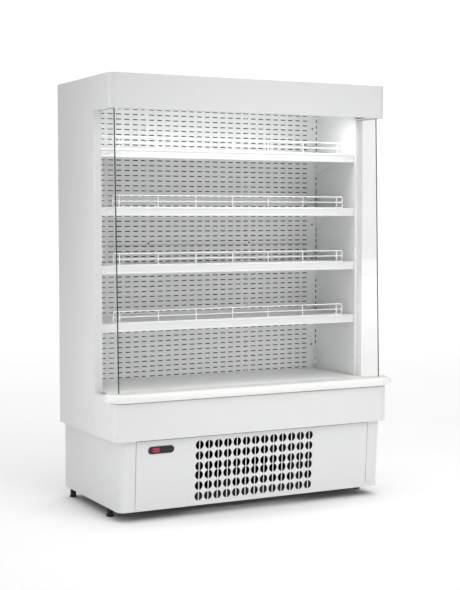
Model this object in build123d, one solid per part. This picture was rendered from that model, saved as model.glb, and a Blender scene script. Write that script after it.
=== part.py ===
from build123d import *
import math
import os

os.makedirs("parts", exist_ok=True)

# Millimetres. X is the width, -Y the open front, +Z up. Z = 0 is the floor.

# Insulated cabinet
cabinet_width = 1448
cabinet_height = 2000
wall_thickness = 42
wall_depth = 460
body_bottom = 371
sheet = 1.5

# How far pieces reach in front of the end walls' front faces
canopy_reach = 205
glass_top_reach = 170
glass_bottom_reach = 207
belt_reach = 250
bumper_overhang = 28
plinth_top_reach = 226
plinth_bottom_reach = 206

# Canopy and top air outlet
canopy_height = 154
canopy_radius = 38
canopy_hem = 15
ceiling_duct_height = 52
ceiling_insulation = 40
outlet_depth = 80
outlet_height = 20
outlet_back = 60
outlet_cells = 48
outlet_wall = 2
lamp_radius = 8
lamp_length = 1180
lamp_housing_depth = 36
lamp_housing_height = 40
lamp_housing_lift = 6
lamp_holder_length = 12
lamp_holder_half = 10
lamp_top_gap = 2
outlet_lift = 20
outlet_overhang = 50
outlet_gap = 1
ceiling_nose_setback = 50
ceiling_nose_inset = 40

# Side glass
glass_thickness = 6
glass_inset = 32
glass_socket = 25
glass_gap = 0.5
glass_head_lap = 12
glass_hole_radius = 4
clip_setback = 10
clip_head_radius = 9
clip_head_height = 5
clip_pin_radius = 3
clip_pin_margin = 5
clip_round = 1.5
clip_levels = (665, 1207, 1756)

# Belt fascia and bumper
belt_height = 190
belt_radius = 56
belt_ledge = 76
belt_ledge_radius = 12
bumper_height = 40
bumper_lap = 18
bumper_depth = 98
bumper_radius = 80
bumper_nose = 19
bumper_cap_seam = 0.6

# Well under the deck
well_depth = 148
well_rim = 10
rest_gap = 0.3
well_front_insulation = 36
rear_insulation = 40

# Back duct
duct_gap = 33
duct_seam = 1.5
duct_seam_level = 1228
duct_slot_length = 28
duct_slot_height = 5
duct_slot_pitch_x = 43.8
duct_slot_pitch_z = 25
duct_slot_columns = 29
duct_slot_start = 577
duct_slot_margin = 14
duct_rib_width = 10
duct_rib_margin = 40
duct_screw_x = 658
duct_seam_screw_x = 282
duct_screw_levels = (695, 1147, 1326, 1828)
duct_seam_screw_level = 1236

# Shelf uprights
upright_width = 14
upright_depth = 14
upright_slot_pitch = 29.7
upright_slot_height = 18
upright_slot_width = 6
upright_bottom = 590
upright_top = 1885

# Shelves
shelf_count = 4
shelf_top_level = 1677
slots_per_shelf = 9
shelf_front_setback = 11
shelf_lip_height = 37
shelf_lip_bead = 3
shelf_bead_height = 5
shelf_hem_depth = 6
shelf_side_flange = 18
shelf_side_gap = 2.5
shelf_rear_gap = 4
bracket_thickness = 3
bracket_notch = 5
bracket_drop = 14
bracket_flat_length = 230
bracket_rear_drop = 92
bracket_hook_offset = 20
bracket_hook_height = 14
bracket_hook_reach = 6
bracket_hook_gap = 0.5
bracket_hook_lip = 6
bracket_front_gap = 8

# Wire riser rails
rail_half_length = 618.5
rail_height = 56
rail_wire_radius = 2.5
rail_post_radius = 1.75
rail_post_offset = 1.5
rail_weld = 1
rail_bays = 6
rail_bay = 195.5
rail_mid_level = 30
rail_corner_radius = 9
rail_setback = 12
rail_peg_length = 12
rail_peg_gap = 0.6

# Deck and return grille
deck_level = 567.5
deck_front_reach = 76
deck_rear_gap = 5
deck_side_gap = 5
deck_notch_gap = 4
return_grille_gap = 2
return_slot_width = 6
return_slot_pitch = 16
return_slot_length = 60
return_slot_columns = 80

# Plinth and its removable grille panel
plinth_bottom = 45
plinth_inset = 34
plinth_radius = 34
plinth_back = 475
panel_half_width = 614
panel_gap = 1.5
panel_flange = 14
panel_top_drop = 5.5
plinth_top_gap = 1
vent_columns = 13
vent_pitch_x = 48.5
vent_center_x = -7
vent_pitch_z = 49.5
vent_group_rows = 3
vent_top_level = 327
vent_second_level = 186.5
vent_radius = 19.5
vent_bar = 5

# Controller
controller_x = -492
controller_level = 321
controller_width = 128
controller_height = 34
controller_bezel = 4
controller_box_width = 104
controller_box_height = 24
controller_box_depth = 48
controller_gap = 0.5
display_x = -26
display_width = 34
display_height = 20
display_depth = 2
key_positions = (26, 44)
key_radius = 4
key_gap = 0.3
key_travel = 0.8
key_well = 3
key_proud = 0.6

# Base frame and feet
frame_inset = 3
frame_bottom = 48
frame_setback = 56
frame_rail_width = 30
frame_rail_height = 40
frame_wall = 3
frame_back = 473
pan_thickness = 2
foot_inset = 17
foot_front_setback = 43
foot_back_setback = 33
foot_pad_radius = 17
foot_pad_height = 6
foot_body_radius = 14
foot_body_height = 38
foot_stem_radius = 5
foot_stem_top = 76
foot_boss_radius = 9
foot_boss_height = 14
thread_gap = 0.06

# Condensing unit
coil_width = 560
coil_x = -8
coil_height = 250
coil_depth = 50
coil_front_gap = 4
coil_bottom = 92
coil_leg_width = 20
coil_fin_pitch = 10
coil_fin_gap = 7
coil_fin_depth = 8
fin_end_margin = 20
fin_top_margin = 6
shroud_depth = 40
condenser_fan_radius = 112
condenser_fan_gap = 6
condenser_fan_depth = 26
condenser_fan_proud = 6
fan_blades = 5
fan_blade_thickness = 1.6
fan_blade_pitch = 52
fan_hub_share = 0.28
compressor_x = 470
compressor_y = 230
compressor_radius = 82
compressor_height = 190
compressor_dome = 46
compressor_seam_level = 84
compressor_seam_height = 8
compressor_seam_proud = 3
compressor_plate = 4
compressor_plate_width = 190
compressor_plate_depth = 150
compressor_foot_inset = 17
compressor_foot_height = 12
compressor_foot_radius = 14
drip_width = 330
drip_depth = 176
drip_height = 34
drip_wall = 2
drip_rear_gap = 6
drip_x = -420
box_width = 120
box_depth = 150
box_height = 190
box_radius = 6
box_x = -560
box_y = 60
pipe_radius = 5
pipe_gap = 0.3
pipe_bend = 18
pipe_coil_offset = 30
pipe_discharge_drop = 40
pipe_discharge_x = -20
pipe_discharge_y = -30
pipe_suction_x = 24
pipe_suction_rise = 26

# Cold section in the well
evaporator_width = 1120
evaporator_depth = 200
evaporator_height = 90
evaporator_front_setback = 120
evaporator_lift = 22
evaporator_fin_pitch = 14
evaporator_fin_gap = 10
evaporator_fin_depth = 6
evaporator_leg_width = 16
fan_plate_setback = 40
fan_plate_foot = 14
evaporator_fan_radius = 58
evaporator_fan_gap = 4
evaporator_fan_depth = 20
evaporator_fan_x = 300
motor_radius = 24
motor_length = 34
motor_arm_width = 8
motor_arm_thickness = 3
motor_leg_thickness = 6
motor_leg_offset = 5
shaft_radius = 3
shaft_gap = 0.05
fan_stand_off = 4

# Cable gland
gland_x = 560
gland_level = 118
gland_plate_width = 80
gland_plate_height = 60
gland_plate_setback = 12
gland_thread_radius = 9.8
gland_hole_radius = 10
gland_hex_radius = 13
gland_hex_height = 8
gland_nut_height = 5
gland_bore_radius = 4.5

screw_head_radius = 4.5
screw_head_height = 2.2
screw_pin_radius = 1.9
screw_hole_radius = 2
screw_length = 10

# Planes and levels worked out from the sizes above. The origin is midway between
# the bumper's front and the plinth's back, so the whole object is centred on it.
bumper_reach = belt_reach + bumper_overhang
front = (bumper_reach - plinth_back) / 2
half_width = cabinet_width / 2
wall_inner = half_width - wall_thickness
liner_outer = wall_inner + sheet
wall_back = front + wall_depth
canopy_bottom = cabinet_height - canopy_height
belt_top = body_bottom + belt_height
bumper_bottom = belt_top + sheet - bumper_lap
bumper_top = bumper_bottom + bumper_height
rear_liner = wall_back - sheet - rear_insulation
duct_half = wall_inner - 0.5
duct_face = rear_liner - sheet - duct_gap - sheet
ceiling_liner = cabinet_height - sheet - ceiling_insulation
ceiling_face = ceiling_liner - sheet - ceiling_duct_height - sheet
well_bottom = belt_top - well_depth
well_front = front - belt_reach + sheet + well_front_insulation
glass_outer = half_width - glass_inset
glass_inner = glass_outer - glass_thickness
plinth_side = half_width - plinth_inset
plinth_top = body_bottom - plinth_top_gap
plinth_rear = front + plinth_back
plinth_lean = math.atan2(plinth_top_reach - plinth_bottom_reach, plinth_top - plinth_bottom)
shelf_pitch = slots_per_shelf * upright_slot_pitch
shelf_levels = [shelf_top_level - i * shelf_pitch for i in range(shelf_count)]
shelf_front = front + shelf_front_setback
upright_front = duct_face - upright_depth
upright_x = wall_inner - upright_width / 2
shelf_back = upright_front - shelf_rear_gap
shelf_half = wall_inner - shelf_side_gap
deck_front = front - deck_front_reach
bumper_rear = front - bumper_reach + bumper_depth
frame_side = plinth_side - sheet - frame_inset
frame_front = front - plinth_bottom_reach + frame_setback
frame_rear = front + frame_back
frame_top = frame_bottom + frame_rail_height


def span(x0, x1, y0, y1, z0, z1):
    """Block between two corners."""
    block = Box(x1 - x0, y1 - y0, z1 - z0)
    return Pos((x0 + x1) / 2, (y0 + y1) / 2, (z0 + z1) / 2) * block


def rod(radius, x, y, z0, z1):
    """Upright round bar."""
    return Pos(x, y, (z0 + z1) / 2) * Cylinder(radius, z1 - z0)


def rod_y(radius, x, z, y0, y1):
    """Round bar that runs from front to back."""
    return Pos(x, (y0 + y1) / 2, z) * Rot(90, 0, 0) * Cylinder(radius, y1 - y0)


def rod_x(radius, y, z, x0, x1):
    """Round bar that runs from side to side."""
    return Pos((x0 + x1) / 2, y, z) * Rot(0, 90, 0) * Cylinder(radius, x1 - x0)


def front_outline(half, reach, radius, rear):
    """Plan of a front with two rounded corners, from its reach back to the rear."""
    y0 = front - reach
    side = Line((-half, rear), (-half, y0 + radius))
    left = TangentArc(side @ 1, (-half + radius, y0), tangent=(0, -1))
    face = Line(left @ 1, (half - radius, y0))
    right = TangentArc(face @ 1, (half, y0 + radius), tangent=(1, 0))
    edge = Line(right @ 1, (half, rear))
    return make_face([side, left, face, right, edge, Line(edge @ 1, side @ 0)])


def lift(face, z0, z1):
    """A plan extruded between two levels."""
    return Pos(0, 0, z0) * extrude(face, z1 - z0, dir=(0, 0, 1))


def side_profile(points, x0, x1):
    """A closed outline given as (y, z) points, extruded from x0 to x1."""
    outline = Polyline([(x0, y, z) for y, z in points], close=True)
    return extrude(Face(Wire(outline.edges())), x1 - x0, dir=(1, 0, 0))


def holed_panel(x0, x1, z0, z1, y, slots, holes):
    """Upright sheet with rectangular slots, by centre and size, and round screw holes."""
    def loop(a, b, c, d):
        return Wire(Polyline((a, y, c), (b, y, c), (b, y, d), (a, y, d), close=True).edges())
    cuts = [loop(x - w / 2, x + w / 2, z - h / 2, z + h / 2) for x, z, w, h in slots]
    for x, z in holes:
        if z0 < z < z1:
            cuts.append(Wire(Edge.make_circle(screw_hole_radius, Plane((x, y, z), z_dir=(0, -1, 0)))))
    return extrude(Face(loop(x0, x1, z0, z1), cuts), sheet, dir=(0, 1, 0))


def mirror_x(shape):
    """The same shape on the other side."""
    return mirror(shape, Plane.YZ)


def save(name, shape):
    """Writes one sub-part; a list is a group of separate solids."""
    pieces = []
    for piece in shape if isinstance(shape, list) else [shape]:
        pieces.extend(piece.solids())
    whole = pieces[0] if len(pieces) == 1 else Compound(pieces)
    export_step(whole, f"parts/{name}.step")


# End walls

glass_slot_inner = glass_inner - glass_gap
glass_slot_outer = glass_outer + glass_gap
pipe_x = evaporator_width / 2 + pipe_coil_offset
pipe_y = front + evaporator_front_setback + evaporator_depth / 2


def glass_socket_cut():
    """The slot in the wall's front that the glass stands in."""
    return span(glass_slot_inner, glass_slot_outer, front - 1, front + glass_socket + glass_gap,
                belt_top, cabinet_height)


def wall_skin():
    """Folded outer sheet of the right wall, open towards the foam."""
    outer = span(liner_outer, half_width, front, wall_back, body_bottom, cabinet_height - sheet)
    hollow = span(liner_outer - 1, half_width - sheet, front + sheet, wall_back - sheet,
                  body_bottom + sheet, cabinet_height - 2 * sheet)
    return outer - hollow - glass_socket_cut()


def wall_liner():
    """Flat inner sheet of the right wall, with holes for the glass clips."""
    plate = span(wall_inner, liner_outer, front, rear_liner - sheet, belt_top, ceiling_liner - sheet)
    for level in clip_levels:
        plate -= rod_x(clip_pin_radius + thread_gap, front + clip_setback, level,
                       wall_inner - 1, liner_outer + 1)
    return plate


def wall_foam():
    """Foam core of the right wall."""
    core = span(liner_outer, half_width - sheet, front + sheet, wall_back - sheet,
                body_bottom + sheet, cabinet_height - 2 * sheet)
    core -= glass_socket_cut()
    for level in clip_levels:
        core -= rod_x(clip_pin_radius + thread_gap, front + clip_setback, level,
                      liner_outer - 1, half_width - sheet - clip_pin_margin + 1)
    return core


def side_glass():
    """Right side glass: leans out towards its foot and stands in the wall's slot."""
    slope = (glass_bottom_reach - glass_top_reach) / (canopy_bottom - belt_top)
    head = canopy_bottom + glass_head_lap
    foot = belt_top + sheet
    top_y = front - glass_top_reach + slope * (head - canopy_bottom)
    foot_y = front - glass_bottom_reach
    back = front + glass_socket
    pane = side_profile([(back, foot), (foot_y, foot), (top_y, head), (back, head)],
                        glass_inner, glass_outer)
    for level in clip_levels:
        pane -= rod_x(glass_hole_radius, front + clip_setback, level, glass_inner - 1, glass_outer + 1)
    return pane


def glass_clips():
    """White round-headed clips that hold the right glass in its slot."""
    clips = []
    for level in clip_levels:
        y = front + clip_setback
        head = rod_x(clip_head_radius, y, level, wall_inner - clip_head_height, wall_inner)
        head = fillet(head.edges().sort_by(Axis.X)[0], clip_round)
        pin = rod_x(clip_pin_radius, y, level, wall_inner, half_width - sheet - clip_pin_margin)
        clips.append(head + pin)
    return clips


for side, place in (("right", lambda shape: shape), ("left", mirror_x)):
    save(f"{side}_wall_skin", place(wall_skin()))
    save(f"{side}_wall_liner", place(wall_liner()))
    save(f"side_glass_{side}", place(side_glass()))
clip_group = glass_clips()
save("glass_clips", clip_group + [mirror_x(clip) for clip in clip_group])

# Body skins, liners, foam

belt_inner = front_outline(half_width - sheet, belt_reach - sheet, belt_radius - sheet, front)
canopy_inner = front_outline(half_width - sheet, canopy_reach - sheet, canopy_radius - sheet, front)
pipe_hole = rod(pipe_radius + pipe_gap, pipe_x, pipe_y, body_bottom - 1, well_bottom + 1)


def rear_skin():
    """Back sheet folded forward under the foam as far as the belt fascia."""
    back = span(-liner_outer, liner_outer, wall_back - sheet, wall_back, body_bottom,
                cabinet_height - sheet)
    under = span(-liner_outer, liner_outer, front, wall_back - sheet, body_bottom, body_bottom + sheet)
    return back + under + lift(belt_inner, body_bottom, body_bottom + sheet) - pipe_hole


def roof_skin():
    """Top sheet over walls, foam and canopy."""
    cover = span(-half_width, half_width, front, wall_back, cabinet_height - sheet, cabinet_height)
    return cover + lift(canopy_inner, cabinet_height - sheet, cabinet_height)


def rear_and_ceiling_liner():
    """Inner back sheet folded forward as the duct's ceiling, with ribs for the duct panels."""
    back = span(-wall_inner, wall_inner, rear_liner - sheet, rear_liner, belt_top, ceiling_liner)
    top = span(-liner_outer, liner_outer, front, rear_liner, ceiling_liner - sheet, ceiling_liner)
    nose_half = liner_outer - ceiling_nose_inset
    nose = span(-nose_half, nose_half, front - canopy_reach + ceiling_nose_setback, front,
                ceiling_liner - sheet, ceiling_liner)
    liner = back + top + nose
    rib_front = duct_face + sheet
    for x in (-duct_screw_x, -duct_seam_screw_x, duct_seam_screw_x, duct_screw_x):
        liner += span(x - duct_rib_width / 2, x + duct_rib_width / 2, rib_front, rear_liner - sheet,
                      belt_top + duct_rib_margin, ceiling_face - duct_rib_margin)
    for x, level in duct_screw_places():
        liner -= rod_y(screw_hole_radius, x, level, rib_front - 1, rib_front + screw_length + 1)
    return liner


def duct_screw_places():
    """Where the duct panels are screwed to the ribs."""
    places = [(s * duct_screw_x, level) for s in (-1, 1) for level in duct_screw_levels]
    return places + [(s * duct_seam_screw_x, duct_seam_screw_level) for s in (-1, 1)]


def tub_liner():
    """Open-topped inner tub of the well under the deck."""
    outer = span(-liner_outer, liner_outer, well_front - sheet, rear_liner, well_bottom - sheet, belt_top)
    hollow = span(-wall_inner, wall_inner, well_front, rear_liner - sheet, well_bottom, belt_top + 1)
    tub = outer - hollow - pipe_hole
    rim = span(wall_inner - well_rim, wall_inner, front - belt_reach + belt_ledge + outlet_gap,
               duct_face - deck_rear_gap, belt_top - sheet, belt_top)
    return tub + rim + mirror_x(rim)


def tub_foam():
    """Foam under and in front of the well."""
    low = body_bottom + sheet
    slab = span(-liner_outer, liner_outer, front, rear_liner, low, well_bottom - sheet)
    slab += lift(belt_inner, low, belt_top - sheet)
    slab -= span(-liner_outer, liner_outer, well_front - sheet, rear_liner + 1, well_bottom - sheet,
                 cabinet_height)
    return slab - pipe_hole


def body_foam():
    """Foam cores of walls, back, ceiling and well."""
    side = wall_foam()
    high = cabinet_height - sheet
    back = span(-liner_outer, liner_outer, rear_liner, wall_back - sheet, body_bottom + sheet, high)
    ceiling = span(-liner_outer, liner_outer, front, rear_liner, ceiling_liner, high)
    return [side, mirror_x(side), back, ceiling, tub_foam()]


save("rear_skin", rear_skin())
save("roof_skin", roof_skin())
save("rear_and_ceiling_liner", rear_and_ceiling_liner())
save("tub_liner", tub_liner())
save("insulation_foam", body_foam())

# Canopy

outlet_front = front - outlet_back - outlet_depth
outlet_bottom = canopy_bottom + outlet_lift
outlet_half = lamp_length / 2 + outlet_overhang
lamp_low = canopy_bottom + lamp_housing_lift
lamp_high = lamp_low + lamp_housing_height
lamp_y = outlet_front - outlet_gap - lamp_housing_depth / 2
lamp_z = lamp_high - sheet - lamp_top_gap - lamp_radius


def canopy_fascia():
    """Front sheet bent round both vertical corners, hemmed inwards at its lower edge."""
    outer = front_outline(half_width, canopy_reach, canopy_radius, front)
    shell = lift(outer, canopy_bottom, cabinet_height) - lift(canopy_inner, canopy_bottom, cabinet_height)
    hem_inner = front_outline(half_width - canopy_hem, canopy_reach - canopy_hem,
                              canopy_radius - canopy_hem, front)
    return shell + lift(canopy_inner - hem_inner, canopy_bottom, canopy_bottom + sheet)


def air_outlet_grille():
    """Honeycomb strip that drops the air curtain, with its mounting flange to the ceiling duct."""
    y0 = outlet_front
    y1 = front - outlet_back
    cell = (2 * outlet_half - outlet_wall) / outlet_cells
    strip = span(-outlet_half, outlet_half, y0, y1, outlet_bottom, outlet_bottom + outlet_height)
    opening_depth = (outlet_depth - 3 * outlet_wall) / 2
    cuts = []
    for i in range(outlet_cells):
        x0 = -outlet_half + outlet_wall + i * cell
        for row in range(2):
            near = y0 + outlet_wall + row * (opening_depth + outlet_wall)
            cuts.append(span(x0, x0 + cell - outlet_wall, near, near + opening_depth,
                             outlet_bottom - 1, outlet_bottom + outlet_height + 1))
    return strip - cuts


def ceiling_panel():
    """Folded false ceiling round the air outlet: duct floor behind it, lamp trough before it."""
    y1 = outlet_front - outlet_gap
    y0 = y1 - lamp_housing_depth
    back_edge = front - outlet_back + outlet_gap
    side_inner = outlet_half + outlet_gap
    trough = span(-outlet_half, outlet_half, y0, y1, lamp_low, lamp_high)
    trough -= span(-outlet_half + sheet, outlet_half - sheet, y0 + sheet, y1 - sheet,
                   lamp_low - 1, lamp_high - sheet)
    duct_floor = span(-duct_half, duct_half, back_edge, rear_liner - sheet - duct_seam,
                      ceiling_face, ceiling_face + sheet)
    fold = span(-duct_half, duct_half, back_edge, back_edge + sheet, outlet_bottom, ceiling_face)
    duct_front = span(-outlet_half, outlet_half, y1 - sheet, y1, lamp_high, ceiling_liner - sheet)
    panel = trough + [duct_floor, fold, duct_front]
    cheek = span(side_inner, side_inner + sheet, y0, back_edge + sheet, outlet_bottom,
                 ceiling_liner - sheet)
    lug = span(outlet_half, side_inner, y0, y1 - 1, outlet_bottom, lamp_high)
    holder = span(lamp_length / 2, lamp_length / 2 + lamp_holder_length, lamp_y - lamp_holder_half,
                  lamp_y + lamp_holder_half, lamp_z - lamp_holder_half, lamp_high - sheet)
    ends = [cheek, lug, holder]
    return panel + ends + [mirror_x(end) for end in ends]


save("canopy_fascia", canopy_fascia())
save("air_outlet_grille", air_outlet_grille())
save("ceiling_panel", ceiling_panel())
save("lamp_tube", rod_x(lamp_radius, lamp_y, lamp_z, -lamp_length / 2, lamp_length / 2))

# Back duct


def duct_slots(z0, z1):
    """Centres and sizes of the slots that lie wholly inside one panel."""
    slots = []
    for row in range(math.ceil((cabinet_height - duct_slot_start) / duct_slot_pitch_z)):
        z = duct_slot_start + row * duct_slot_pitch_z
        near_screw = abs(z - duct_seam_screw_level) < duct_slot_margin
        if z - duct_slot_margin < z0 - duct_slot_height or z + duct_slot_margin > z1 or near_screw:
            continue
        for column in range(duct_slot_columns):
            x = (column - (duct_slot_columns - 1) / 2) * duct_slot_pitch_x
            slots.append((x, z, duct_slot_length, duct_slot_height))
    return slots


def lower_duct_panel():
    """Slotted back sheet from the deck up to the seam."""
    top = duct_seam_level - duct_seam / 2
    slots = duct_slots(deck_level - duct_slot_height, top)
    return holed_panel(-duct_half, duct_half, belt_top, top, duct_face, slots, duct_screw_places())


def upper_duct_panel():
    """Slotted back sheet from the seam up to the ceiling panel."""
    low = duct_seam_level + duct_seam / 2
    return holed_panel(-duct_half, duct_half, low, ceiling_face - duct_seam, duct_face,
                       duct_slots(low, ceiling_face), duct_screw_places())


def panel_screws():
    """Pan-head screws of both duct panels."""
    screws = []
    for x, level in duct_screw_places():
        head = rod_y(screw_head_radius, x, level, duct_face - screw_head_height, duct_face)
        head = fillet(head.edges().sort_by(Axis.Y)[0], 1)
        screws.append(head + rod_y(screw_pin_radius, x, level, duct_face, duct_face + screw_length))
    return screws


def shelf_upright():
    """Slotted channel in the right back corner."""
    x0 = wall_inner - upright_width
    channel = span(x0, wall_inner, upright_front, duct_face, upright_bottom, upright_top)
    channel -= span(x0 + sheet, wall_inner - sheet, upright_front + sheet, duct_face + 1,
                    upright_bottom - 1, upright_top + 1)
    first = shelf_top_level - bracket_hook_offset
    above = math.floor((upright_top - upright_slot_height - first) / upright_slot_pitch)
    below = math.floor((first - upright_bottom - upright_slot_height) / upright_slot_pitch)
    for step in range(-below, above + 1):
        z = first + step * upright_slot_pitch
        channel -= span(upright_x - upright_slot_width / 2, upright_x + upright_slot_width / 2,
                        upright_front - 1, upright_front + sheet + 1,
                        z - upright_slot_height / 2, z + upright_slot_height / 2)
    return channel


save("lower_duct_panel", lower_duct_panel())
save("upper_duct_panel", upper_duct_panel())
save("panel_screws", panel_screws())
right_upright = shelf_upright()
save("shelf_uprights", [right_upright, mirror_x(right_upright)])

# Shelves

rail_y = shelf_front + rail_setback
rail_post_x = [(i - rail_bays / 2) * rail_bay for i in range(rail_bays + 1)]
rail_pegs_x = (rail_post_x[0], rail_post_x[2], rail_post_x[-3], rail_post_x[-1])


def shelf_tray(level):
    """Folded tray: ticket lip with bead and hem in front, flanges at the sides and back."""
    y = shelf_front
    low = level - shelf_lip_height
    under = level - sheet
    hem = y + shelf_lip_bead + shelf_hem_depth
    foot = level - shelf_side_flange
    lip = [(y, level), (shelf_back, level), (shelf_back, foot), (shelf_back - sheet, foot),
           (shelf_back - sheet, under), (y + shelf_lip_bead + sheet, under),
           (y + shelf_lip_bead + sheet, low + sheet), (hem, low + sheet), (hem, low), (y, low),
           (y, low + shelf_bead_height), (y + shelf_lip_bead, low + shelf_bead_height),
           (y + shelf_lip_bead, level - shelf_bead_height), (y, level - shelf_bead_height)]
    tray = side_profile(lip, -shelf_half, shelf_half)
    beads = tray.edges().filter_by(Axis.X).group_by(Axis.Y)[0]
    tray = fillet(beads, shelf_lip_bead / 2)
    flange = span(shelf_half - sheet, shelf_half, y + shelf_lip_bead + sheet, shelf_back - sheet,
                  foot, under)
    notch = span(upright_x - bracket_notch / 2, upright_x + bracket_notch / 2, shelf_back - 2 * sheet,
                 shelf_back + 1, foot - 1, under)
    tray = tray + flange + mirror_x(flange) - notch - mirror_x(notch)
    for x in rail_pegs_x:
        tray -= rod(rail_post_radius + rail_peg_gap, x, rail_y, level - 2 * sheet, level + 1)
    return tray


def shelf_bracket(level):
    """Right bracket: flat cantilever plate hooked into the upright's slots."""
    top = level - sheet
    y0 = shelf_front + shelf_lip_bead + bracket_front_gap
    foot = level - shelf_lip_height - bracket_drop
    rear_foot = level - bracket_rear_drop
    plate = side_profile([(y0, top), (upright_front, top), (upright_front, rear_foot),
                          (y0 + bracket_flat_length, foot), (y0, foot)],
                         upright_x - bracket_thickness / 2, upright_x + bracket_thickness / 2)
    side_in = upright_x - bracket_thickness / 2
    side_out = upright_x + bracket_thickness / 2
    tip = upright_front + bracket_hook_reach
    for i in (0, 2):
        z = level - bracket_hook_offset - i * upright_slot_pitch
        low = z - bracket_hook_height / 2
        plate += span(side_in, side_out, upright_front, tip, low, low + bracket_hook_height)
        plate += span(side_in, side_out, upright_front + sheet + bracket_hook_gap, tip,
                      low - bracket_hook_lip, low)
    return plate


def rail_loop(low, high):
    """The rail's frame: one wire bent round four corners."""
    r = rail_corner_radius
    half = rail_half_length
    y = rail_y
    top = Line((-half + r, y, high), (half - r, y, high))
    bend_1 = TangentArc(top @ 1, (half, y, high - r), tangent=(1, 0, 0))
    right = Line(bend_1 @ 1, (half, y, low + r))
    bend_2 = TangentArc(right @ 1, (half - r, y, low), tangent=(0, 0, -1))
    bottom = Line(bend_2 @ 1, (-half + r, y, low))
    bend_3 = TangentArc(bottom @ 1, (-half, y, low + r), tangent=(-1, 0, 0))
    left = Line(bend_3 @ 1, (-half, y, high - r))
    bend_4 = TangentArc(left @ 1, (-half + r, y, high), tangent=(0, 0, 1))
    runs = [top, bend_1, right, bend_2, bottom, bend_3, left, bend_4]
    section = Plane(top @ 0, z_dir=(1, 0, 0)) * Circle(rail_wire_radius)
    return sweep(section, path=Wire([run.edge() for run in runs]))


def shelf_rail(level):
    """Riser rail of welded wire that stands in the tray on four pegs."""
    low = level + rest_gap + rail_wire_radius
    high = level + rail_height
    rail = rail_loop(low, high)
    rail += rod_x(rail_post_radius, rail_y, level + rail_mid_level, -rail_half_length, rail_half_length)
    for x in rail_post_x:
        rail += rod(rail_post_radius, x, rail_y + rail_post_offset, low - rail_weld, high + rail_weld)
    for x in rail_pegs_x:
        rail += rod(rail_post_radius, x, rail_y, level - rail_peg_length, low + rail_weld / 2)
    return rail


right_brackets = [shelf_bracket(level) for level in shelf_levels]
save("shelf_brackets_right", right_brackets)
save("shelf_brackets_left", [mirror_x(bracket) for bracket in right_brackets])
for number, level in enumerate(shelf_levels, start=1):
    save(f"shelf_tray_{number}", shelf_tray(level))
    save(f"shelf_rail_{number}", shelf_rail(level))

# Belt, bumper, deck and grille


def belt_fascia():
    """Painted belt round the well, with a ledge inwards along its top edge."""
    outer = front_outline(half_width, belt_reach, belt_radius, front)
    shell = lift(outer, body_bottom, belt_top + sheet) - lift(belt_inner, body_bottom, belt_top + sheet)
    ledge_inner = front_outline(wall_inner, belt_reach - belt_ledge, belt_ledge_radius, front)
    return shell + lift(belt_inner - ledge_inner, belt_top, belt_top + sheet)


def bumper_body():
    """Bullnose along the belt's top edge: rests on the ledge and laps over the front."""
    plan = front_outline(half_width + bumper_overhang, bumper_reach, bumper_radius, bumper_rear)
    bar = lift(plan, bumper_bottom, bumper_top)
    rims = [edge for edge in bar.faces().filter_by(Axis.Z).edges() if edge.center().Y < bumper_rear - 1]
    bar = fillet(rims, bumper_nose)
    belt_space = front_outline(half_width + bumper_cap_seam, belt_reach + bumper_cap_seam,
                               belt_radius + bumper_cap_seam, front)
    bar -= lift(belt_space, bumper_bottom - 1, belt_top + sheet)
    for s in (-1, 1):
        inner = s * glass_slot_inner
        outer = s * glass_slot_outer
        bar -= span(min(inner, outer), max(inner, outer), front - glass_bottom_reach - glass_gap,
                    front, belt_top, bumper_top + 1)
    return bar


bumper_seam_x = half_width + bumper_overhang - bumper_radius
whole_bumper = bumper_body()
rail_space = span(-bumper_seam_x, bumper_seam_x, front - bumper_reach - 1, front,
                  bumper_bottom - 1, bumper_top + 1)
cap_space = span(bumper_seam_x + bumper_cap_seam, half_width + bumper_overhang + 1,
                 front - bumper_reach - 1, front, bumper_bottom - 1, bumper_top + 1)
save("belt_fascia", belt_fascia())
save("bumper_rail", whole_bumper & rail_space)
save("bumper_end_caps", [whole_bumper & cap_space, whole_bumper & mirror_x(cap_space)])


def base_deck():
    """Lift-out floor over the well, with a folded front edge and side edges on the rim."""
    half = wall_inner - deck_side_gap
    back = duct_face - deck_rear_gap
    under = deck_level - sheet
    low = belt_top + rest_gap
    notch_x = wall_inner - upright_width - deck_notch_gap
    notch_y = upright_front - deck_notch_gap
    plate = span(-half, half, deck_front, back, under, deck_level)
    plate += span(-half, half, deck_front, deck_front + sheet, low, under)
    plate += span(-notch_x, notch_x, back - sheet, back, low, under)
    edge = span(half - sheet, half, deck_front, notch_y, low, under)
    notch = span(notch_x, half + 1, notch_y, back + 1, low, deck_level + 1)
    return plate + edge + mirror_x(edge) - notch - mirror_x(notch)


def return_grille():
    """Lift-out slotted strip between deck and bumper, where the curtain of air returns."""
    y0 = bumper_rear + return_grille_gap
    y1 = deck_front - return_grille_gap
    top = deck_level
    half = glass_inner - return_grille_gap
    middle = (y0 + y1) / 2
    outline = Wire(Polyline((-half, y0), (half, y0), (half, y1), (-half, y1), close=True).edges())
    slots = []
    for column in range(return_slot_columns):
        x = (column - (return_slot_columns - 1) / 2) * return_slot_pitch
        a = x - return_slot_width / 2
        b = x + return_slot_width / 2
        c = middle - return_slot_length / 2
        d = middle + return_slot_length / 2
        slots.append(Wire(Polyline((a, c), (b, c), (b, d), (a, d), close=True).edges()))
    plate = lift(Face(outline, slots), top - sheet, top)
    plate += span(-half, half, y0, y0 + sheet, belt_top + sheet + rest_gap, top - sheet)
    return plate + span(-shelf_half, shelf_half, y1 - sheet, y1, belt_top + rest_gap, top - sheet)


save("base_deck", base_deck())
save("return_grille", return_grille())

# Plinth


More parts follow.
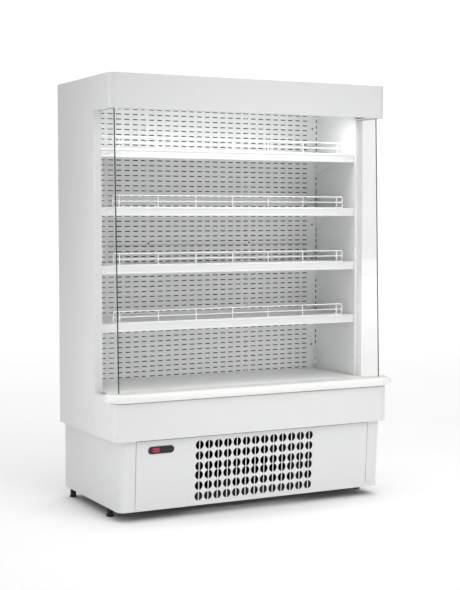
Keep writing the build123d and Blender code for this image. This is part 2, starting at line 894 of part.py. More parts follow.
def plinth_solid(inset):
    """The plinth's full outline, leaning back to a smaller reach at the floor."""
    half = plinth_side - inset
    radius = plinth_radius - inset
    low = front_outline(half, plinth_bottom_reach - inset, radius, plinth_rear)
    high = front_outline(half, plinth_top_reach - inset, radius, plinth_rear)
    return loft([Pos(0, 0, plinth_bottom) * low, Pos(0, 0, plinth_top) * high], ruled=True)


plinth_shell = plinth_solid(0) - plinth_solid(sheet)
panel_space = span(-panel_half_width + panel_gap / 2, panel_half_width - panel_gap / 2,
                   front - plinth_top_reach - 1, front, plinth_bottom, plinth_top - panel_top_drop)
corner_space = span(panel_half_width + panel_gap / 2, half_width, front - plinth_top_reach - 1,
                    plinth_rear - 0.01, plinth_bottom, plinth_top)


def plinth_front(z):
    """Y of the plinth's leaning front face at a level."""
    share = (z - plinth_bottom) / (plinth_top - plinth_bottom)
    return front - plinth_bottom_reach - share * (plinth_top_reach - plinth_bottom_reach)


def plinth_corner():
    """Right part: side sheet bent round the front corner up to the panel's seam."""
    return plinth_shell & corner_space


controller_frame = Plane((controller_x, plinth_front(controller_level), controller_level),
                         x_dir=(1, 0, 0),
                         z_dir=(0, -math.cos(plinth_lean), -math.sin(plinth_lean)))


def vent_cuts():
    """Round vent openings in two groups of rows, each crossed by an upright bar."""
    cuts = []
    for group_top in (vent_top_level, vent_second_level):
        for row in range(vent_group_rows):
            z = group_top - row * vent_pitch_z
            for column in range(vent_columns):
                x = vent_center_x + (column - (vent_columns - 1) / 2) * vent_pitch_x
                hole = rod_y(vent_radius, x, z, front - plinth_top_reach - 5,
                             front - plinth_bottom_reach + panel_flange)
                bar = span(x - vent_bar / 2, x + vent_bar / 2, front - plinth_top_reach - 6,
                           front, z - vent_radius - 1, z + vent_radius + 1)
                cuts.append(hole - bar)
    return cuts


def grille_panel():
    """Removable front panel with the vents and the controller's cut-out."""
    panel = plinth_shell & panel_space
    depth = span(-panel_half_width, panel_half_width, front - plinth_top_reach,
                 front - plinth_bottom_reach + sheet + panel_flange, plinth_bottom, plinth_top)
    body = (plinth_solid(0) & panel_space) & depth
    for s in (-1, 1):
        outer = s * (panel_half_width - panel_gap / 2)
        inner = s * (panel_half_width - panel_gap / 2 - sheet)
        panel += body & span(min(outer, inner), max(outer, inner), front - plinth_top_reach,
                             front, plinth_bottom, plinth_top)
    cutout = controller_frame * Box(controller_box_width + 2 * controller_gap,
                                    controller_box_height + 2 * controller_gap, 20)
    return panel - vent_cuts() - cutout


save("plinth_right", plinth_corner())
save("plinth_left", mirror_x(plinth_corner()))
save("grille_panel", grille_panel())

# Controller


def controller_body():
    """Pill-shaped bezel on the panel with its housing behind, and wells for display and keys."""
    face = SlotOverall(controller_width, controller_height)
    bezel = extrude(face, controller_bezel)
    bezel = fillet(bezel.edges().group_by(Axis.Z)[-1], 1.2)
    box = Pos(0, 0, -controller_box_depth / 2) * Box(controller_box_width, controller_box_height,
                                                     controller_box_depth)
    body = bezel + box
    body -= Pos(display_x, 0, controller_bezel) * Box(display_width, display_height, 2 * display_depth)
    for x in key_positions:
        body -= Pos(x, 0, controller_bezel) * Cylinder(key_radius + key_gap, 2 * key_well)
    return controller_frame * body


def controller_key(x):
    """Round key that sits in its well and stands just proud of the bezel."""
    low = controller_bezel - key_well + key_travel + key_gap
    high = controller_bezel + key_proud
    key = Pos(x, 0, (low + high) / 2) * Cylinder(key_radius, high - low)
    return controller_frame * fillet(key.edges().sort_by(Axis.Z)[-1], 0.4)


def controller_lens():
    """Display window let into the bezel."""
    lens = Box(display_width, display_height, display_depth)
    return controller_frame * (Pos(display_x, 0, controller_bezel - display_depth / 2) * lens)


save("controller_body", controller_body())
save("controller_lens", controller_lens())
for name, x in zip(("controller_key_down", "controller_key_up"), key_positions):
    save(name, controller_key(x))

# Base frame and feet

foot_places = [(s * (frame_side - foot_inset), y) for s in (-1, 1)
               for y in (front - foot_front_setback, wall_back - foot_back_setback)]
gland_y = frame_rear - gland_plate_setback


def channel_rail(x0, x1, y0, y1, opening):
    """Frame rail of channel section that opens towards the given side."""
    rail = span(x0, x1, y0, y1, frame_bottom, frame_top)
    w = frame_wall
    inner = {"+x": (x0 + w, x1 + 1, y0 + w, y1 - w), "-x": (x0 - 1, x1 - w, y0 + w, y1 - w),
             "+y": (x0 + w, x1 - w, y0 + w, y1 + 1), "-y": (x0 + w, x1 - w, y0 - 1, y1 - w)}[opening]
    return rail - span(*inner, frame_bottom + w, frame_top - w)


def base_frame():
    """Channel rails round the machine space, corner posts, pan, foot nuts and gland plate."""
    w = frame_rail_width
    s, y0, y1 = frame_side, frame_front, frame_rear
    frame = channel_rail(-s, -s + w, y0, y1, "+x") + channel_rail(s - w, s, y0, y1, "-x")
    frame += channel_rail(-s + w, s - w, y0, y0 + w, "+y")
    frame += channel_rail(-s + w, s - w, y1 - w, y1, "-y")
    frame += span(-s + w, s - w, y0 + w, y1 - w, frame_bottom, frame_bottom + pan_thickness)
    for x in (-1, 1):
        for post_y in (y0, wall_back - w):
            edge = x * s
            inner = x * (s - w)
            post = span(min(edge, inner), max(edge, inner), post_y, post_y + w, frame_top, body_bottom)
            hollow_edge = x * (s - frame_wall)
            hollow = span(min(hollow_edge, inner - x), max(hollow_edge, inner - x),
                          post_y + frame_wall, post_y + w - frame_wall, frame_top - 1, body_bottom + 1)
            frame += post - hollow
    for x, y in foot_places:
        frame += rod(foot_boss_radius, x, y, frame_bottom + frame_wall,
                     frame_bottom + frame_wall + foot_boss_height)
        frame -= rod(foot_stem_radius + thread_gap, x, y, frame_bottom - 1, foot_stem_top + 5)
    frame += span(gland_x - gland_plate_width / 2, gland_x + gland_plate_width / 2,
                  gland_y - sheet * 2, gland_y, frame_top, frame_top + gland_plate_height)
    return frame - rod_y(gland_hole_radius, gland_x, gland_level, gland_y - 10, gland_y + 1)


def foot(x, y):
    """Levelling foot: pad, grip body and threaded stem."""
    pad = rod(foot_pad_radius, x, y, 0, foot_pad_height)
    body = rod(foot_body_radius, x, y, foot_pad_height, foot_body_height)
    stem = rod(foot_stem_radius, x, y, foot_body_height, foot_stem_top)
    return pad + body + stem


def cable_gland():
    """Screwed gland with a hexagon on each side of its plate."""
    y0 = gland_y - 3 * sheet - gland_hex_height
    y1 = gland_y + gland_hex_height
    hexagon = RegularPolygon(gland_hex_radius, 6)
    gland = rod_y(gland_thread_radius, gland_x, gland_level, y0, y1)
    outer = Plane((gland_x, gland_y + gland_hex_height, gland_level), z_dir=(0, -1, 0)) * hexagon
    gland += extrude(outer, gland_hex_height)
    nut = Plane((gland_x, gland_y - 2 * sheet, gland_level), z_dir=(0, -1, 0)) * hexagon
    gland += extrude(nut, gland_nut_height)
    return gland - rod_y(gland_bore_radius, gland_x, gland_level, y0 - 1, y1 + 1)


save("base_frame", base_frame())
foot_names = ("foot_front_left", "foot_rear_left", "foot_front_right", "foot_rear_right")
for name, (x, y) in zip(foot_names, foot_places):
    save(name, foot(x, y))
save("cable_gland", cable_gland())

# Condensing unit

coil_y = frame_front + frame_rail_width + coil_front_gap
shroud_y = coil_y + coil_depth
fan_center_z = coil_bottom + coil_height / 2
pan_top = frame_bottom + pan_thickness


def finned_block(width, depth, height, pitch, gap, groove):
    """Heat exchanger block, grooved between the fins on its front and back."""
    block = Box(width, depth, height)
    count = int((width - 2 * fin_end_margin) / pitch)
    cuts = []
    for i in range(count):
        x = (i - (count - 1) / 2) * pitch
        for s in (-1, 1):
            cuts.append(Pos(x, s * depth / 2, 0) * Box(gap, 2 * groove, height - 2 * fin_top_margin))
    return block - cuts


def condenser_coil():
    """Finned condenser behind the grille, with feet down to the pan."""
    block = finned_block(coil_width, coil_depth, coil_height, coil_fin_pitch, coil_fin_gap, coil_fin_depth)
    coil = Pos(coil_x, coil_y + coil_depth / 2, coil_bottom + coil_height / 2) * block
    for s in (-1, 1):
        x = coil_x + s * (coil_width - coil_leg_width) / 2
        coil += span(x - coil_leg_width / 2, x + coil_leg_width / 2, coil_y, shroud_y, pan_top, coil_bottom)
    return coil


def condenser_shroud():
    """Box that leads the air from the coil to the fan's ring."""
    half = coil_width / 2
    low, high = coil_bottom, coil_bottom + coil_height
    shroud = span(coil_x - half, coil_x + half, shroud_y, shroud_y + shroud_depth, low, high)
    shroud -= span(coil_x - half + sheet, coil_x + half - sheet, shroud_y - 1,
                   shroud_y + shroud_depth - sheet, low + sheet, high - sheet)
    return shroud - rod_y(condenser_fan_radius + condenser_fan_gap, coil_x, fan_center_z,
                          shroud_y, shroud_y + shroud_depth + 1)


def fan_wheel(radius, depth):
    """Axial fan about its own Z axis: hub with pitched blades and a shaft bore."""
    hub_radius = radius * fan_hub_share
    root = hub_radius * 0.7
    wheel = Cylinder(hub_radius, depth)
    for i in range(fan_blades):
        blade = Box(radius - root, fan_blade_thickness, depth * 1.1)
        blade = Pos((radius + root) / 2, 0, 0) * Rot(fan_blade_pitch, 0, 0) * blade
        wheel += Rot(0, 0, i * 360 / fan_blades) * blade
    wheel &= Cylinder(radius, depth)
    return wheel - Cylinder(shaft_radius + shaft_gap, depth + 2)


def fan_motor(ring_radius, wheel_depth, reach):
    """Motor about Z: body, shaft into the wheel, four arms and the legs from their ends to the ring."""
    unit = Pos(0, 0, -motor_length / 2) * Cylinder(motor_radius, motor_length)
    shaft_length = wheel_depth + fan_stand_off
    unit += Pos(0, 0, shaft_length / 2) * Cylinder(shaft_radius, shaft_length)
    leg_x = ring_radius + motor_leg_offset
    arm_out = leg_x + motor_leg_thickness / 2
    arm = Pos(arm_out / 2, 0, (motor_arm_thickness - 2 * motor_length) / 2) * Box(
        arm_out, motor_arm_width, motor_arm_thickness)
    leg = Pos(leg_x, 0, reach / 2 - motor_length) * Box(motor_leg_thickness, motor_arm_width, reach)
    for i in range(4):
        unit += Rot(0, 0, 45 + 90 * i) * arm
        unit += Rot(0, 0, 45 + 90 * i) * leg
    return unit


def place_fan(shape, x, y, z):
    """Turns a fan or motor so that its axis points to the front."""
    return Plane((x, y, z), x_dir=(1, 0, 0), z_dir=(0, -1, 0)) * shape


shroud_back = shroud_y + shroud_depth
condenser_wheel_y = shroud_back - sheet - condenser_fan_depth / 2 + condenser_fan_proud


def condenser_motor():
    """Condenser fan motor with its legs on the back of the shroud."""
    start = condenser_wheel_y + condenser_fan_depth / 2 + fan_stand_off
    unit = fan_motor(condenser_fan_radius + condenser_fan_gap, condenser_fan_depth,
                     start + motor_length - shroud_back)
    return place_fan(unit, coil_x, start, fan_center_z)


def compressor():
    """Hermetic compressor: domed can on a base plate with rubber-footed corners."""
    low = pan_top + compressor_foot_height
    can_low = low + compressor_plate
    half_x = compressor_plate_width / 2
    half_y = compressor_plate_depth / 2
    seam = can_low + compressor_seam_level
    unit = rod(compressor_radius, compressor_x, compressor_y, can_low, can_low + compressor_height)
    unit = fillet(unit.edges().sort_by(Axis.Z)[-1], compressor_dome)
    unit += rod(compressor_radius + compressor_seam_proud, compressor_x, compressor_y, seam,
                seam + compressor_seam_height)
    unit += span(compressor_x - half_x, compressor_x + half_x, compressor_y - half_y,
                 compressor_y + half_y, low, can_low)
    for sx in (-1, 1):
        for sy in (-1, 1):
            unit += rod(compressor_foot_radius, compressor_x + sx * (half_x - compressor_foot_inset),
                        compressor_y + sy * (half_y - compressor_foot_inset), pan_top, low)
    return unit


def drip_tray():
    """Open tray on the pan that holds and evaporates the defrost water."""
    x0 = drip_x - drip_width / 2
    x1 = drip_x + drip_width / 2
    y1 = frame_rear - frame_rail_width - drip_rear_gap
    y0 = y1 - drip_depth
    outer = span(x0, x1, y0, y1, pan_top, pan_top + drip_height)
    return outer - span(x0 + drip_wall, x1 - drip_wall, y0 + drip_wall, y1 - drip_wall,
                        pan_top + drip_wall, pan_top + drip_height + 1)


def electrical_box():
    """Closed box for the relays and terminals, fixed on the pan."""
    box = span(box_x - box_width / 2, box_x + box_width / 2, box_y - box_depth / 2, box_y + box_depth / 2,
               pan_top, pan_top + box_height)
    return fillet(box.edges().filter_by(Axis.Z), box_radius)


def pipe(points):
    """Round tube along straight runs joined by tangent bends."""
    path = FilletPolyline(*points, radius=pipe_bend)
    start = Plane(path @ 0, z_dir=path % 0)
    return sweep(start * Circle(pipe_radius), path=Wire(path.edges()))


def refrigerant_pipes():
    """Discharge line to the condenser and suction line up into the well."""
    top = pan_top + compressor_foot_height + compressor_plate + compressor_height
    out_x = compressor_x + pipe_discharge_x
    coil_end = coil_x + coil_width / 2
    level = coil_bottom + coil_height - pipe_discharge_drop
    coil_middle = coil_y + coil_depth / 2
    discharge = pipe([(out_x, compressor_y + pipe_discharge_y, top),
                      (out_x, compressor_y + pipe_discharge_y, level),
                      (out_x, coil_middle, level), (coil_end, coil_middle, level)])
    well_level = well_bottom + evaporator_lift + evaporator_height / 2
    back_x = compressor_x + pipe_suction_x
    run = top + pipe_suction_rise
    suction = pipe([(back_x, compressor_y, top), (back_x, compressor_y, run), (pipe_x, compressor_y, run),
                    (pipe_x, pipe_y, run), (pipe_x, pipe_y, well_level),
                    (evaporator_width / 2, pipe_y, well_level)])
    return [discharge, suction]


save("condenser_coil", condenser_coil())
save("condenser_shroud", condenser_shroud())
save("condenser_fan", place_fan(fan_wheel(condenser_fan_radius, condenser_fan_depth),
                                coil_x, condenser_wheel_y, fan_center_z))
save("compressor", compressor())
save("drip_tray", drip_tray())
save("electrical_box", electrical_box())
save("refrigerant_pipes", refrigerant_pipes())

# Cold section

evaporator_y = front + evaporator_front_setback
fan_plate_y = front + fan_plate_setback
cold_fan_z = well_bottom + well_depth / 2
cold_wheel_y = fan_plate_y + sheet / 2


def evaporator_coil():
    """Finned evaporator on two end feet in the well."""
    block = finned_block(evaporator_width, evaporator_depth, evaporator_height, evaporator_fin_pitch,
                         evaporator_fin_gap, evaporator_fin_depth)
    low = well_bottom + evaporator_lift
    coil = Pos(0, evaporator_y + evaporator_depth / 2, low + evaporator_height / 2) * block
    for s in (-1, 1):
        x = s * (evaporator_width - evaporator_leg_width) / 2
        coil += span(x - evaporator_leg_width / 2, x + evaporator_leg_width / 2, evaporator_y,
                     evaporator_y + evaporator_depth, well_bottom, low)
    return coil


def fan_plate():
    """Upright plate across the well with the two fan rings."""
    half = wall_inner - 1
    plate = span(-half, half, fan_plate_y, fan_plate_y + sheet, well_bottom, belt_top - 2 * sheet)
    plate += span(-half, half, fan_plate_y + sheet, fan_plate_y + fan_plate_foot, well_bottom,
                  well_bottom + sheet)
    for s in (-1, 1):
        plate -= rod_y(evaporator_fan_radius + evaporator_fan_gap, s * evaporator_fan_x, cold_fan_z,
                       fan_plate_y - 1, fan_plate_y + sheet + 1)
    return plate


def cold_motor(x):
    """Evaporator fan motor with its legs on the back of the fan plate."""
    start = cold_wheel_y + evaporator_fan_depth / 2 + fan_stand_off
    unit = fan_motor(evaporator_fan_radius + evaporator_fan_gap, evaporator_fan_depth,
                     start + motor_length - fan_plate_y - sheet)
    return place_fan(unit, x, start, cold_fan_z)


save("evaporator_coil", evaporator_coil())
save("fan_plate", fan_plate())
for side, x in (("left", -evaporator_fan_x), ("right", evaporator_fan_x)):
    wheel = fan_wheel(evaporator_fan_radius, evaporator_fan_depth)
    save(f"evaporator_fan_{side}", place_fan(wheel, x, cold_wheel_y, cold_fan_z))
save("fan_motors", [condenser_motor(), cold_motor(-evaporator_fan_x), cold_motor(evaporator_fan_x)])
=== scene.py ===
import math
import bmesh
import bpy
from mathutils import Matrix, Vector


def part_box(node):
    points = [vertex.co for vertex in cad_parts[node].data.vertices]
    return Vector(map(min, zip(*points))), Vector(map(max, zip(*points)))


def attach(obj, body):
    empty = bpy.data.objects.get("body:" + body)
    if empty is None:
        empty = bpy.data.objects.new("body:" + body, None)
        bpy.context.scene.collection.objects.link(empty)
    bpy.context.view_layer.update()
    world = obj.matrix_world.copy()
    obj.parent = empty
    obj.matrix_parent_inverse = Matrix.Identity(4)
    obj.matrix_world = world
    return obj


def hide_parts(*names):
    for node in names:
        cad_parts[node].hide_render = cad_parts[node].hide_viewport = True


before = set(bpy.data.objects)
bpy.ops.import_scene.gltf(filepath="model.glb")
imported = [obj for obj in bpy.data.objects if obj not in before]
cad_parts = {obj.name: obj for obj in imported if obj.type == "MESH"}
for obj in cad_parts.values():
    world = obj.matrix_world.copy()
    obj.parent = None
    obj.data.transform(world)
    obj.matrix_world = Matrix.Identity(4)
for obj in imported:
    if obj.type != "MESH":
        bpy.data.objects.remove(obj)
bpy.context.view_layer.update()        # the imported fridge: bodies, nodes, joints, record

mm = 0.001


def deselectAll():
    if bpy.context.object and bpy.context.object.mode != "OBJECT":
        bpy.ops.object.mode_set(mode="OBJECT")
    bpy.ops.object.select_all(action="DESELECT")


def activate(piece):
    deselectAll()
    piece.select_set(True)
    bpy.context.view_layer.objects.active = piece


def settle(name):   # names the fresh primitive and bakes its place into the mesh
    piece = bpy.context.object
    piece.name = name
    piece.data.name = name
    bpy.ops.object.transform_apply(location=True, rotation=True, scale=True)
    return piece


def addBox(name, low, high):   # corners in mm
    deselectAll()
    bpy.ops.mesh.primitive_cube_add(size=1, location=[(a + b) / 2 * mm for a, b in zip(low, high)])
    bpy.context.object.scale = [(b - a) * mm for a, b in zip(low, high)]
    return settle(name)


def addRod(name, radius, start, end, steps=24):   # round bar between two points, in mm
    deselectAll()
    a, b = Vector(start) * mm, Vector(end) * mm
    bpy.ops.mesh.primitive_cylinder_add(vertices=steps, radius=radius * mm, depth=(b - a).length,
                                        location=(a + b) / 2)
    bpy.context.object.rotation_mode = "QUATERNION"
    bpy.context.object.rotation_quaternion = (b - a).to_track_quat("Z", "Y")
    return settle(name)


def startEdit(piece):
    activate(piece)
    bpy.ops.object.mode_set(mode="EDIT")


def endEdit():
    bpy.ops.object.mode_set(mode="OBJECT")


def pick(piece, kind, test):   # test gets a place in mm, and a face's normal or an edge's direction
    bpy.ops.mesh.select_mode(type=kind)
    bpy.ops.mesh.select_all(action="DESELECT")
    mesh = bmesh.from_edit_mesh(piece.data)
    mesh.normal_update()
    chosen = []
    for part in {"VERT": mesh.verts, "EDGE": mesh.edges, "FACE": mesh.faces}[kind]:
        if kind == "VERT":
            spot, along = part.co, part.normal
        elif kind == "EDGE":
            spot = (part.verts[0].co + part.verts[1].co) / 2
            along = (part.verts[1].co - part.verts[0].co).normalized()
        else:
            spot, along = part.calc_center_median(), part.normal
        if test(spot / mm, along):
            chosen.append(part)
    for part in chosen:
        part.select_set(True)
    mesh.select_flush_mode()
    bmesh.update_edit_mesh(piece.data)


def push(x=0, y=0, z=0):   # moves what is selected, in mm
    bpy.ops.transform.translate(value=(x * mm, y * mm, z * mm))


def pull(x=0, y=0, z=0):   # extrudes what is selected, in mm
    bpy.ops.mesh.extrude_region_move(TRANSFORM_OT_translate={"value": (x * mm, y * mm, z * mm)})


def sliceAt(axis, spot, keep=None, fill=False):   # cuts at a plane; keep is "low", "high" or both sides
    normal = [float(axis == a) for a in "xyz"]
    bpy.ops.mesh.select_all(action="SELECT")
    bpy.ops.mesh.bisect(plane_co=[spot * mm * n for n in normal], plane_no=normal, use_fill=fill,
                        clear_inner=keep == "high", clear_outer=keep == "low")


def modify(piece, kind, **settings):
    activate(piece)
    modifier = piece.modifiers.new(kind.title(), kind)
    for key, value in settings.items():
        setattr(modifier, key, value)
    bpy.ops.object.modifier_apply(modifier=modifier.name)


def faceOut(piece):
    mesh = bmesh.new()
    mesh.from_mesh(piece.data)
    if mesh.calc_volume(signed=True) < 0:
        bmesh.ops.reverse_faces(mesh, faces=mesh.faces)
        mesh.to_mesh(piece.data)
    mesh.free()


def thicken(piece, thickness, side=-1):
    modify(piece, "SOLIDIFY", thickness=thickness * mm, offset=side, use_even_offset=True,
           use_quality_normals=True)
    faceOut(piece)


def softenEdges(piece, width, steps=2, angle=35):
    modify(piece, "BEVEL", width=width * mm, segments=steps, limit_method="ANGLE",
           angle_limit=math.radians(angle), use_clamp_overlap=True, miter_outer="MITER_ARC")
    activate(piece)
    bpy.ops.object.shade_smooth_by_angle(angle=math.radians(50))
    modify(piece, "WEIGHTED_NORMAL", keep_sharp=True)


def cut(piece, *cutters):
    for cutter in cutters:
        modify(piece, "BOOLEAN", operation="DIFFERENCE", object=cutter, solver="EXACT")
        bpy.data.objects.remove(cutter)


def joinAll(name, pieces):
    deselectAll()
    for piece in pieces:
        piece.select_set(True)
    bpy.context.view_layer.objects.active = pieces[0]
    bpy.ops.object.join()
    pieces[0].name = name
    pieces[0].data.name = name
    return pieces[0]


def copyOf(piece, name, shift=(0, 0, 0), mirror=False):
    twin = bpy.data.objects.new(name, piece.data.copy())
    bpy.context.scene.collection.objects.link(twin)
    twin.data.transform(Matrix.Translation(Vector(shift) * mm))
    if mirror:   # made before the edges are softened, so it has no shading normals to turn round
        twin.data.transform(Matrix.Diagonal((-1, 1, 1, 1)))
        twin.data.flip_normals()
    return twin


def boxOf(node):   # a CAD node's lowest and highest corner, in mm
    low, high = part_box(node)
    return low / mm, high / mm


def mergedCopy(node, name=None):   # the CAD shape as one clean mesh
    piece = bpy.data.objects.new(name or node + "Dressed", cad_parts[node].data.copy())
    bpy.context.scene.collection.objects.link(piece)
    startEdit(piece)
    bpy.ops.mesh.customdata_custom_splitnormals_clear()
    bpy.ops.mesh.select_all(action="SELECT")
    bpy.ops.mesh.remove_doubles(threshold=0.00001)
    bpy.ops.mesh.dissolve_limited(angle_limit=math.radians(1))
    endEdit()
    return piece


def install(piece, body, slotName, finish, *nodes):   # material, body, and what it stands for; the record slot argument is not used
    if finish:
        piece.data.materials.clear()
        piece.data.materials.append(finish)
    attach(piece, body)
    if nodes:
        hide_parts(*nodes)
    return piece


def installPair(piece, leftName, edge, slotName, finish, nodes=None):   # a right piece and its mirror image
    twin = copyOf(piece, leftName, mirror=True)
    for half, side in ((piece, "right"), (twin, "left")):
        softenEdges(half, edge)
        install(half, "cabinet", slotName, finish, *([nodes.format(side)] if nodes else []))


def sRgb(code):
    values = [int(code[i:i + 2], 16) / 255 for i in (0, 2, 4)]
    return [v / 12.92 if v <= 0.04045 else ((v + 0.055) / 1.055) ** 2.4 for v in values] + [1]


def addNode(tree, kind, links=None, **settings):
    node = tree.nodes.new(kind)
    for key, value in settings.items():
        setattr(node, key, value)
    for key, value in (links or {}).items():
        if isinstance(value, bpy.types.NodeSocket):
            tree.links.new(value, node.inputs[key])
        else:
            node.inputs[key].default_value = value
    return node


def newMaterial(name, **shader):
    material = bpy.data.materials.new(name)
    material.use_nodes = True
    tree = material.node_tree
    surface = tree.nodes["Principled BSDF"]
    for key, value in shader.items():
        surface.inputs[key].default_value = value
    spot = addNode(tree, "ShaderNodeTexCoord").outputs["Object"]
    return material, tree, surface, spot


# mix sockets by number: 6 and 7 are the two colours, output 2 is the mixed one
def surfaceFinish(name, colours, patch, roughness, grain, relief, strength=0.3, **shader):
    material, tree, surface, spot = newMaterial(name, **shader)
    tone = addNode(tree, "ShaderNodeTexNoise", {"Vector": spot, "Scale": 1 / (patch * mm), "Detail": 3})
    colour = addNode(tree, "ShaderNodeMix", {0: tone.outputs["Fac"], 6: sRgb(colours[0]),
                                             7: sRgb(colours[1])}, data_type="RGBA")
    gloss = addNode(tree, "ShaderNodeMapRange", {"Value": tone.outputs["Fac"], "To Min": roughness[0],
                                                 "To Max": roughness[1]})
    bumps = addNode(tree, "ShaderNodeTexNoise", {"Vector": spot, "Scale": 1 / (grain * mm), "Detail": 2})
    bump = addNode(tree, "ShaderNodeBump", {"Height": bumps.outputs["Fac"], "Strength": strength,
                                            "Distance": relief * mm})
    tree.links.new(colour.outputs[2], surface.inputs["Base Color"])
    tree.links.new(gloss.outputs["Result"], surface.inputs["Roughness"])
    tree.links.new(bump.outputs["Normal"], surface.inputs["Normal"])
    return material


# powder-coated steel, sprayed and baked: cool white satin with a faint orange peel of about 3 mm
powderCoat = surfaceFinish("powderCoatedSteel", ("D9DADA", "DDDDDD"), 160, (0.3, 0.38), 3, 0.03)
# pre-painted liner steel, rolled: a little duller, and made the brightest sheet as painted light, so the
# inside glows
linerPaintWithPaintedLight = surfaceFinish("prePaintedSteelPaintedLight", ("F0F1F1", "F4F4F4"), 120, (0.38, 0.46), 3, 0.02)
# powder-coated shelf steel: white and semi-gloss
shelfPaint = surfaceFinish("powderCoatedShelf", ("E0E1E1", "E5E5E5"), 90, (0.28, 0.34), 3, 0.02)
# dip-coated wire: thick glossy nylon skin, drawn slightly uneven
wireCoat = surfaceFinish("dipCoatedWire", ("F1F1F1", "F7F7F7"), 25, (0.18, 0.26), 6, 0.05)
# extruded PVC: near white and glossy, with very faint draw marks
extrudedPvc = surfaceFinish("extrudedPvc", ("E8E7E5", "EDECEB"), 80, (0.2, 0.28), 8, 0.02)
# galvanised sheet: grey zinc in soft spangles of about 12 mm
zincSheet = surfaceFinish("galvanisedSheet", ("8F9496", "B4B8BA"), 12, (0.34, 0.52), 12, 0.03, Metallic=1.0)
# poured polyurethane foam, cut: pale yellow, chalky, open cells
foamCore = surfaceFinish("cutPolyurethaneFoam", ("D9C79A", "E6D8B0"), 6, (0.85, 0.95), 2, 0.4)
# moulded ABS: black with a fine spark-eroded grain
mouldedAbs = surfaceFinish("mouldedAbs", ("0B0B0C", "131314"), 12, (0.26, 0.4), 1.2, 0.04)
# stove enamel on the compressor: deep black gloss, a little wavy
stoveEnamel = surfaceFinish("stoveEnamel", ("09090A", "111112"), 40, (0.14, 0.24), 14, 0.1)
# black e-coat on the condenser; on the vent sheet and the base frame it is painted shade: thin, matt, dusty
# in patches
blackCoatAndShade = surfaceFinish("electroCoatAndPaintedShade", ("060606", "0E0E0E"), 20, (0.5, 0.7), 4, 0.03)
# rolled aluminium fins: bright, dull in patches
finFoil = surfaceFinish("rolledAluminium", ("B9BCBE", "CFD2D4"), 8, (0.28, 0.44), 4, 0.03, Metallic=1.0)
# drawn copper tube: salmon with brown tarnish
drawnCopper = surfaceFinish("drawnCopper", ("8E5236", "C57C56"), 14, (0.2, 0.42), 6, 0.03, Metallic=1.0)
# zinc-plated steel: small parts, bright grey
platedSteel = surfaceFinish("zincPlatedSteel", ("A9ABAD", "C6C8CA"), 10, (0.24, 0.36), 3, 0.02, Metallic=1.0)
# phosphated steel: the duct's screws, dark grey and dull
phosphatedSteel = surfaceFinish("phosphatedSteel", ("3E4042", "56585A"), 4, (0.4, 0.55), 2, 0.02,
                                Metallic=1.0)
# vulcanised rubber: matt, nearly black, slightly bloomed
rubber = surfaceFinish("vulcanisedRubber", ("121212", "1F1F1F"), 9, (0.55, 0.72), 2, 0.05)
# silicone keys: soft dark grey
silicone = surfaceFinish("siliconeKey", ("26262A", "34343A"), 4, (0.45, 0.55), 1, 0.03)
# grey silicone strip at the pane's top, painted shadow that stands in for the shadow line where the pane
# meets the canopy: soft, slightly milky
shadeLineGrey = surfaceFinish("greySiliconeShadeLine", ("9A9D9E", "B0B3B4"), 7, (0.4, 0.5), 2, 0.02)
# ground edge of toughened glass, coloured as painted shade: a dark grey-green line that stands in for the
# light leaving it elsewhere
paneEdgePaintedShade = surfaceFinish("paneEdgePaintedDark", ("2B3130", "3C4341"), 6, (0.2, 0.3), 1, 0.01)
# float glass, toughened: clear with a trace of green; mostly see-through, so that light passes it too
paneGlass = surfaceFinish("toughenedGlass", ("F5FAF8", "FAFDFC"), 180, (0.0, 0.01), 200, 0.01,
                          Alpha=0.15, IOR=1.5, **{"Transmission Weight": 1.0})
# opal tube: phosphor behind glass, evenly lit
opalGlass = surfaceFinish("opalGlass", ("F7F8FF", "FFFFFF"), 200, (0.2, 0.3), 60, 0.01, strength=0.1,
                          **{"Emission Color": sRgb("FAFBFF"), "Emission Strength": 3.0})
# tinted acrylic over a lit display: crimson and glossy, uneven like segments behind it
tintedAcrylic = surfaceFinish("tintedAcrylic", ("5E0820", "BE1E4A"), 6, (0.08, 0.14), 20, 0.01,
                              **{"Emission Color": sRgb("C41A46"), "Emission Strength": 0.18})
print("materials made")

# the camera stands left of the middle and looks slightly down
camera = {"place": (-2.915, -5.6615, 1.370), "turn": -27.44, "tilt": -3.434, "lens": 80.06}
bpy.ops.object.camera_add(location=camera["place"],
                          rotation=(math.radians(90 + camera["tilt"]), 0, math.radians(camera["turn"])))
bpy.context.object.data.lens = camera["lens"]
bpy.context.object.data.sensor_width = 36
bpy.context.scene.camera = bpy.context.object
bpy.context.scene.view_settings.view_transform = "Standard"

# a studio with a white wall behind, soft light from overhead, and soft boxes round the fridge
studio = {
    "wallSeen": 1.06, "behind": 0.47, "inFront": 0.2, "overhead": 1.18,
    "lights": [   # name, place, aim, width, height, watts, spread in degrees
        ("rightBox", (2.6, -5.0, 2.0), (0, 0, 1.1), 1.6, 1.6, 13.8, 120),
        ("highFront", (0.4, -3.6, 3.2), (0, 0.2, 0.6), 2.4, 0.8, 4.5, 60),
        ("lowLeft", (-2.0, -5.0, 0.6), (0.6, 0, 0.8), 1.0, 0.6, 4.4, 60),
        ("wallStrip", (-1.45, -0.2, 1.15), (-0.72, -0.32, 1.15), 0.3, 1.9, 1.1, 90),
        ("floorBox", (0.5, -2.2, 3.0), (0, -1.0, 0), 2.0, 1.0, 1.6, 60),
        ("farFloorBox", (12.0, 23.0, 8.0), (12.0, 23.0, 0), 24.0, 34.0, 950, 150),
        ("canopyLamp", (0, -0.12, 1.86), (0, 0.1, 0.8), 1.25, 0.2, 2.75, 150),
    ],
}


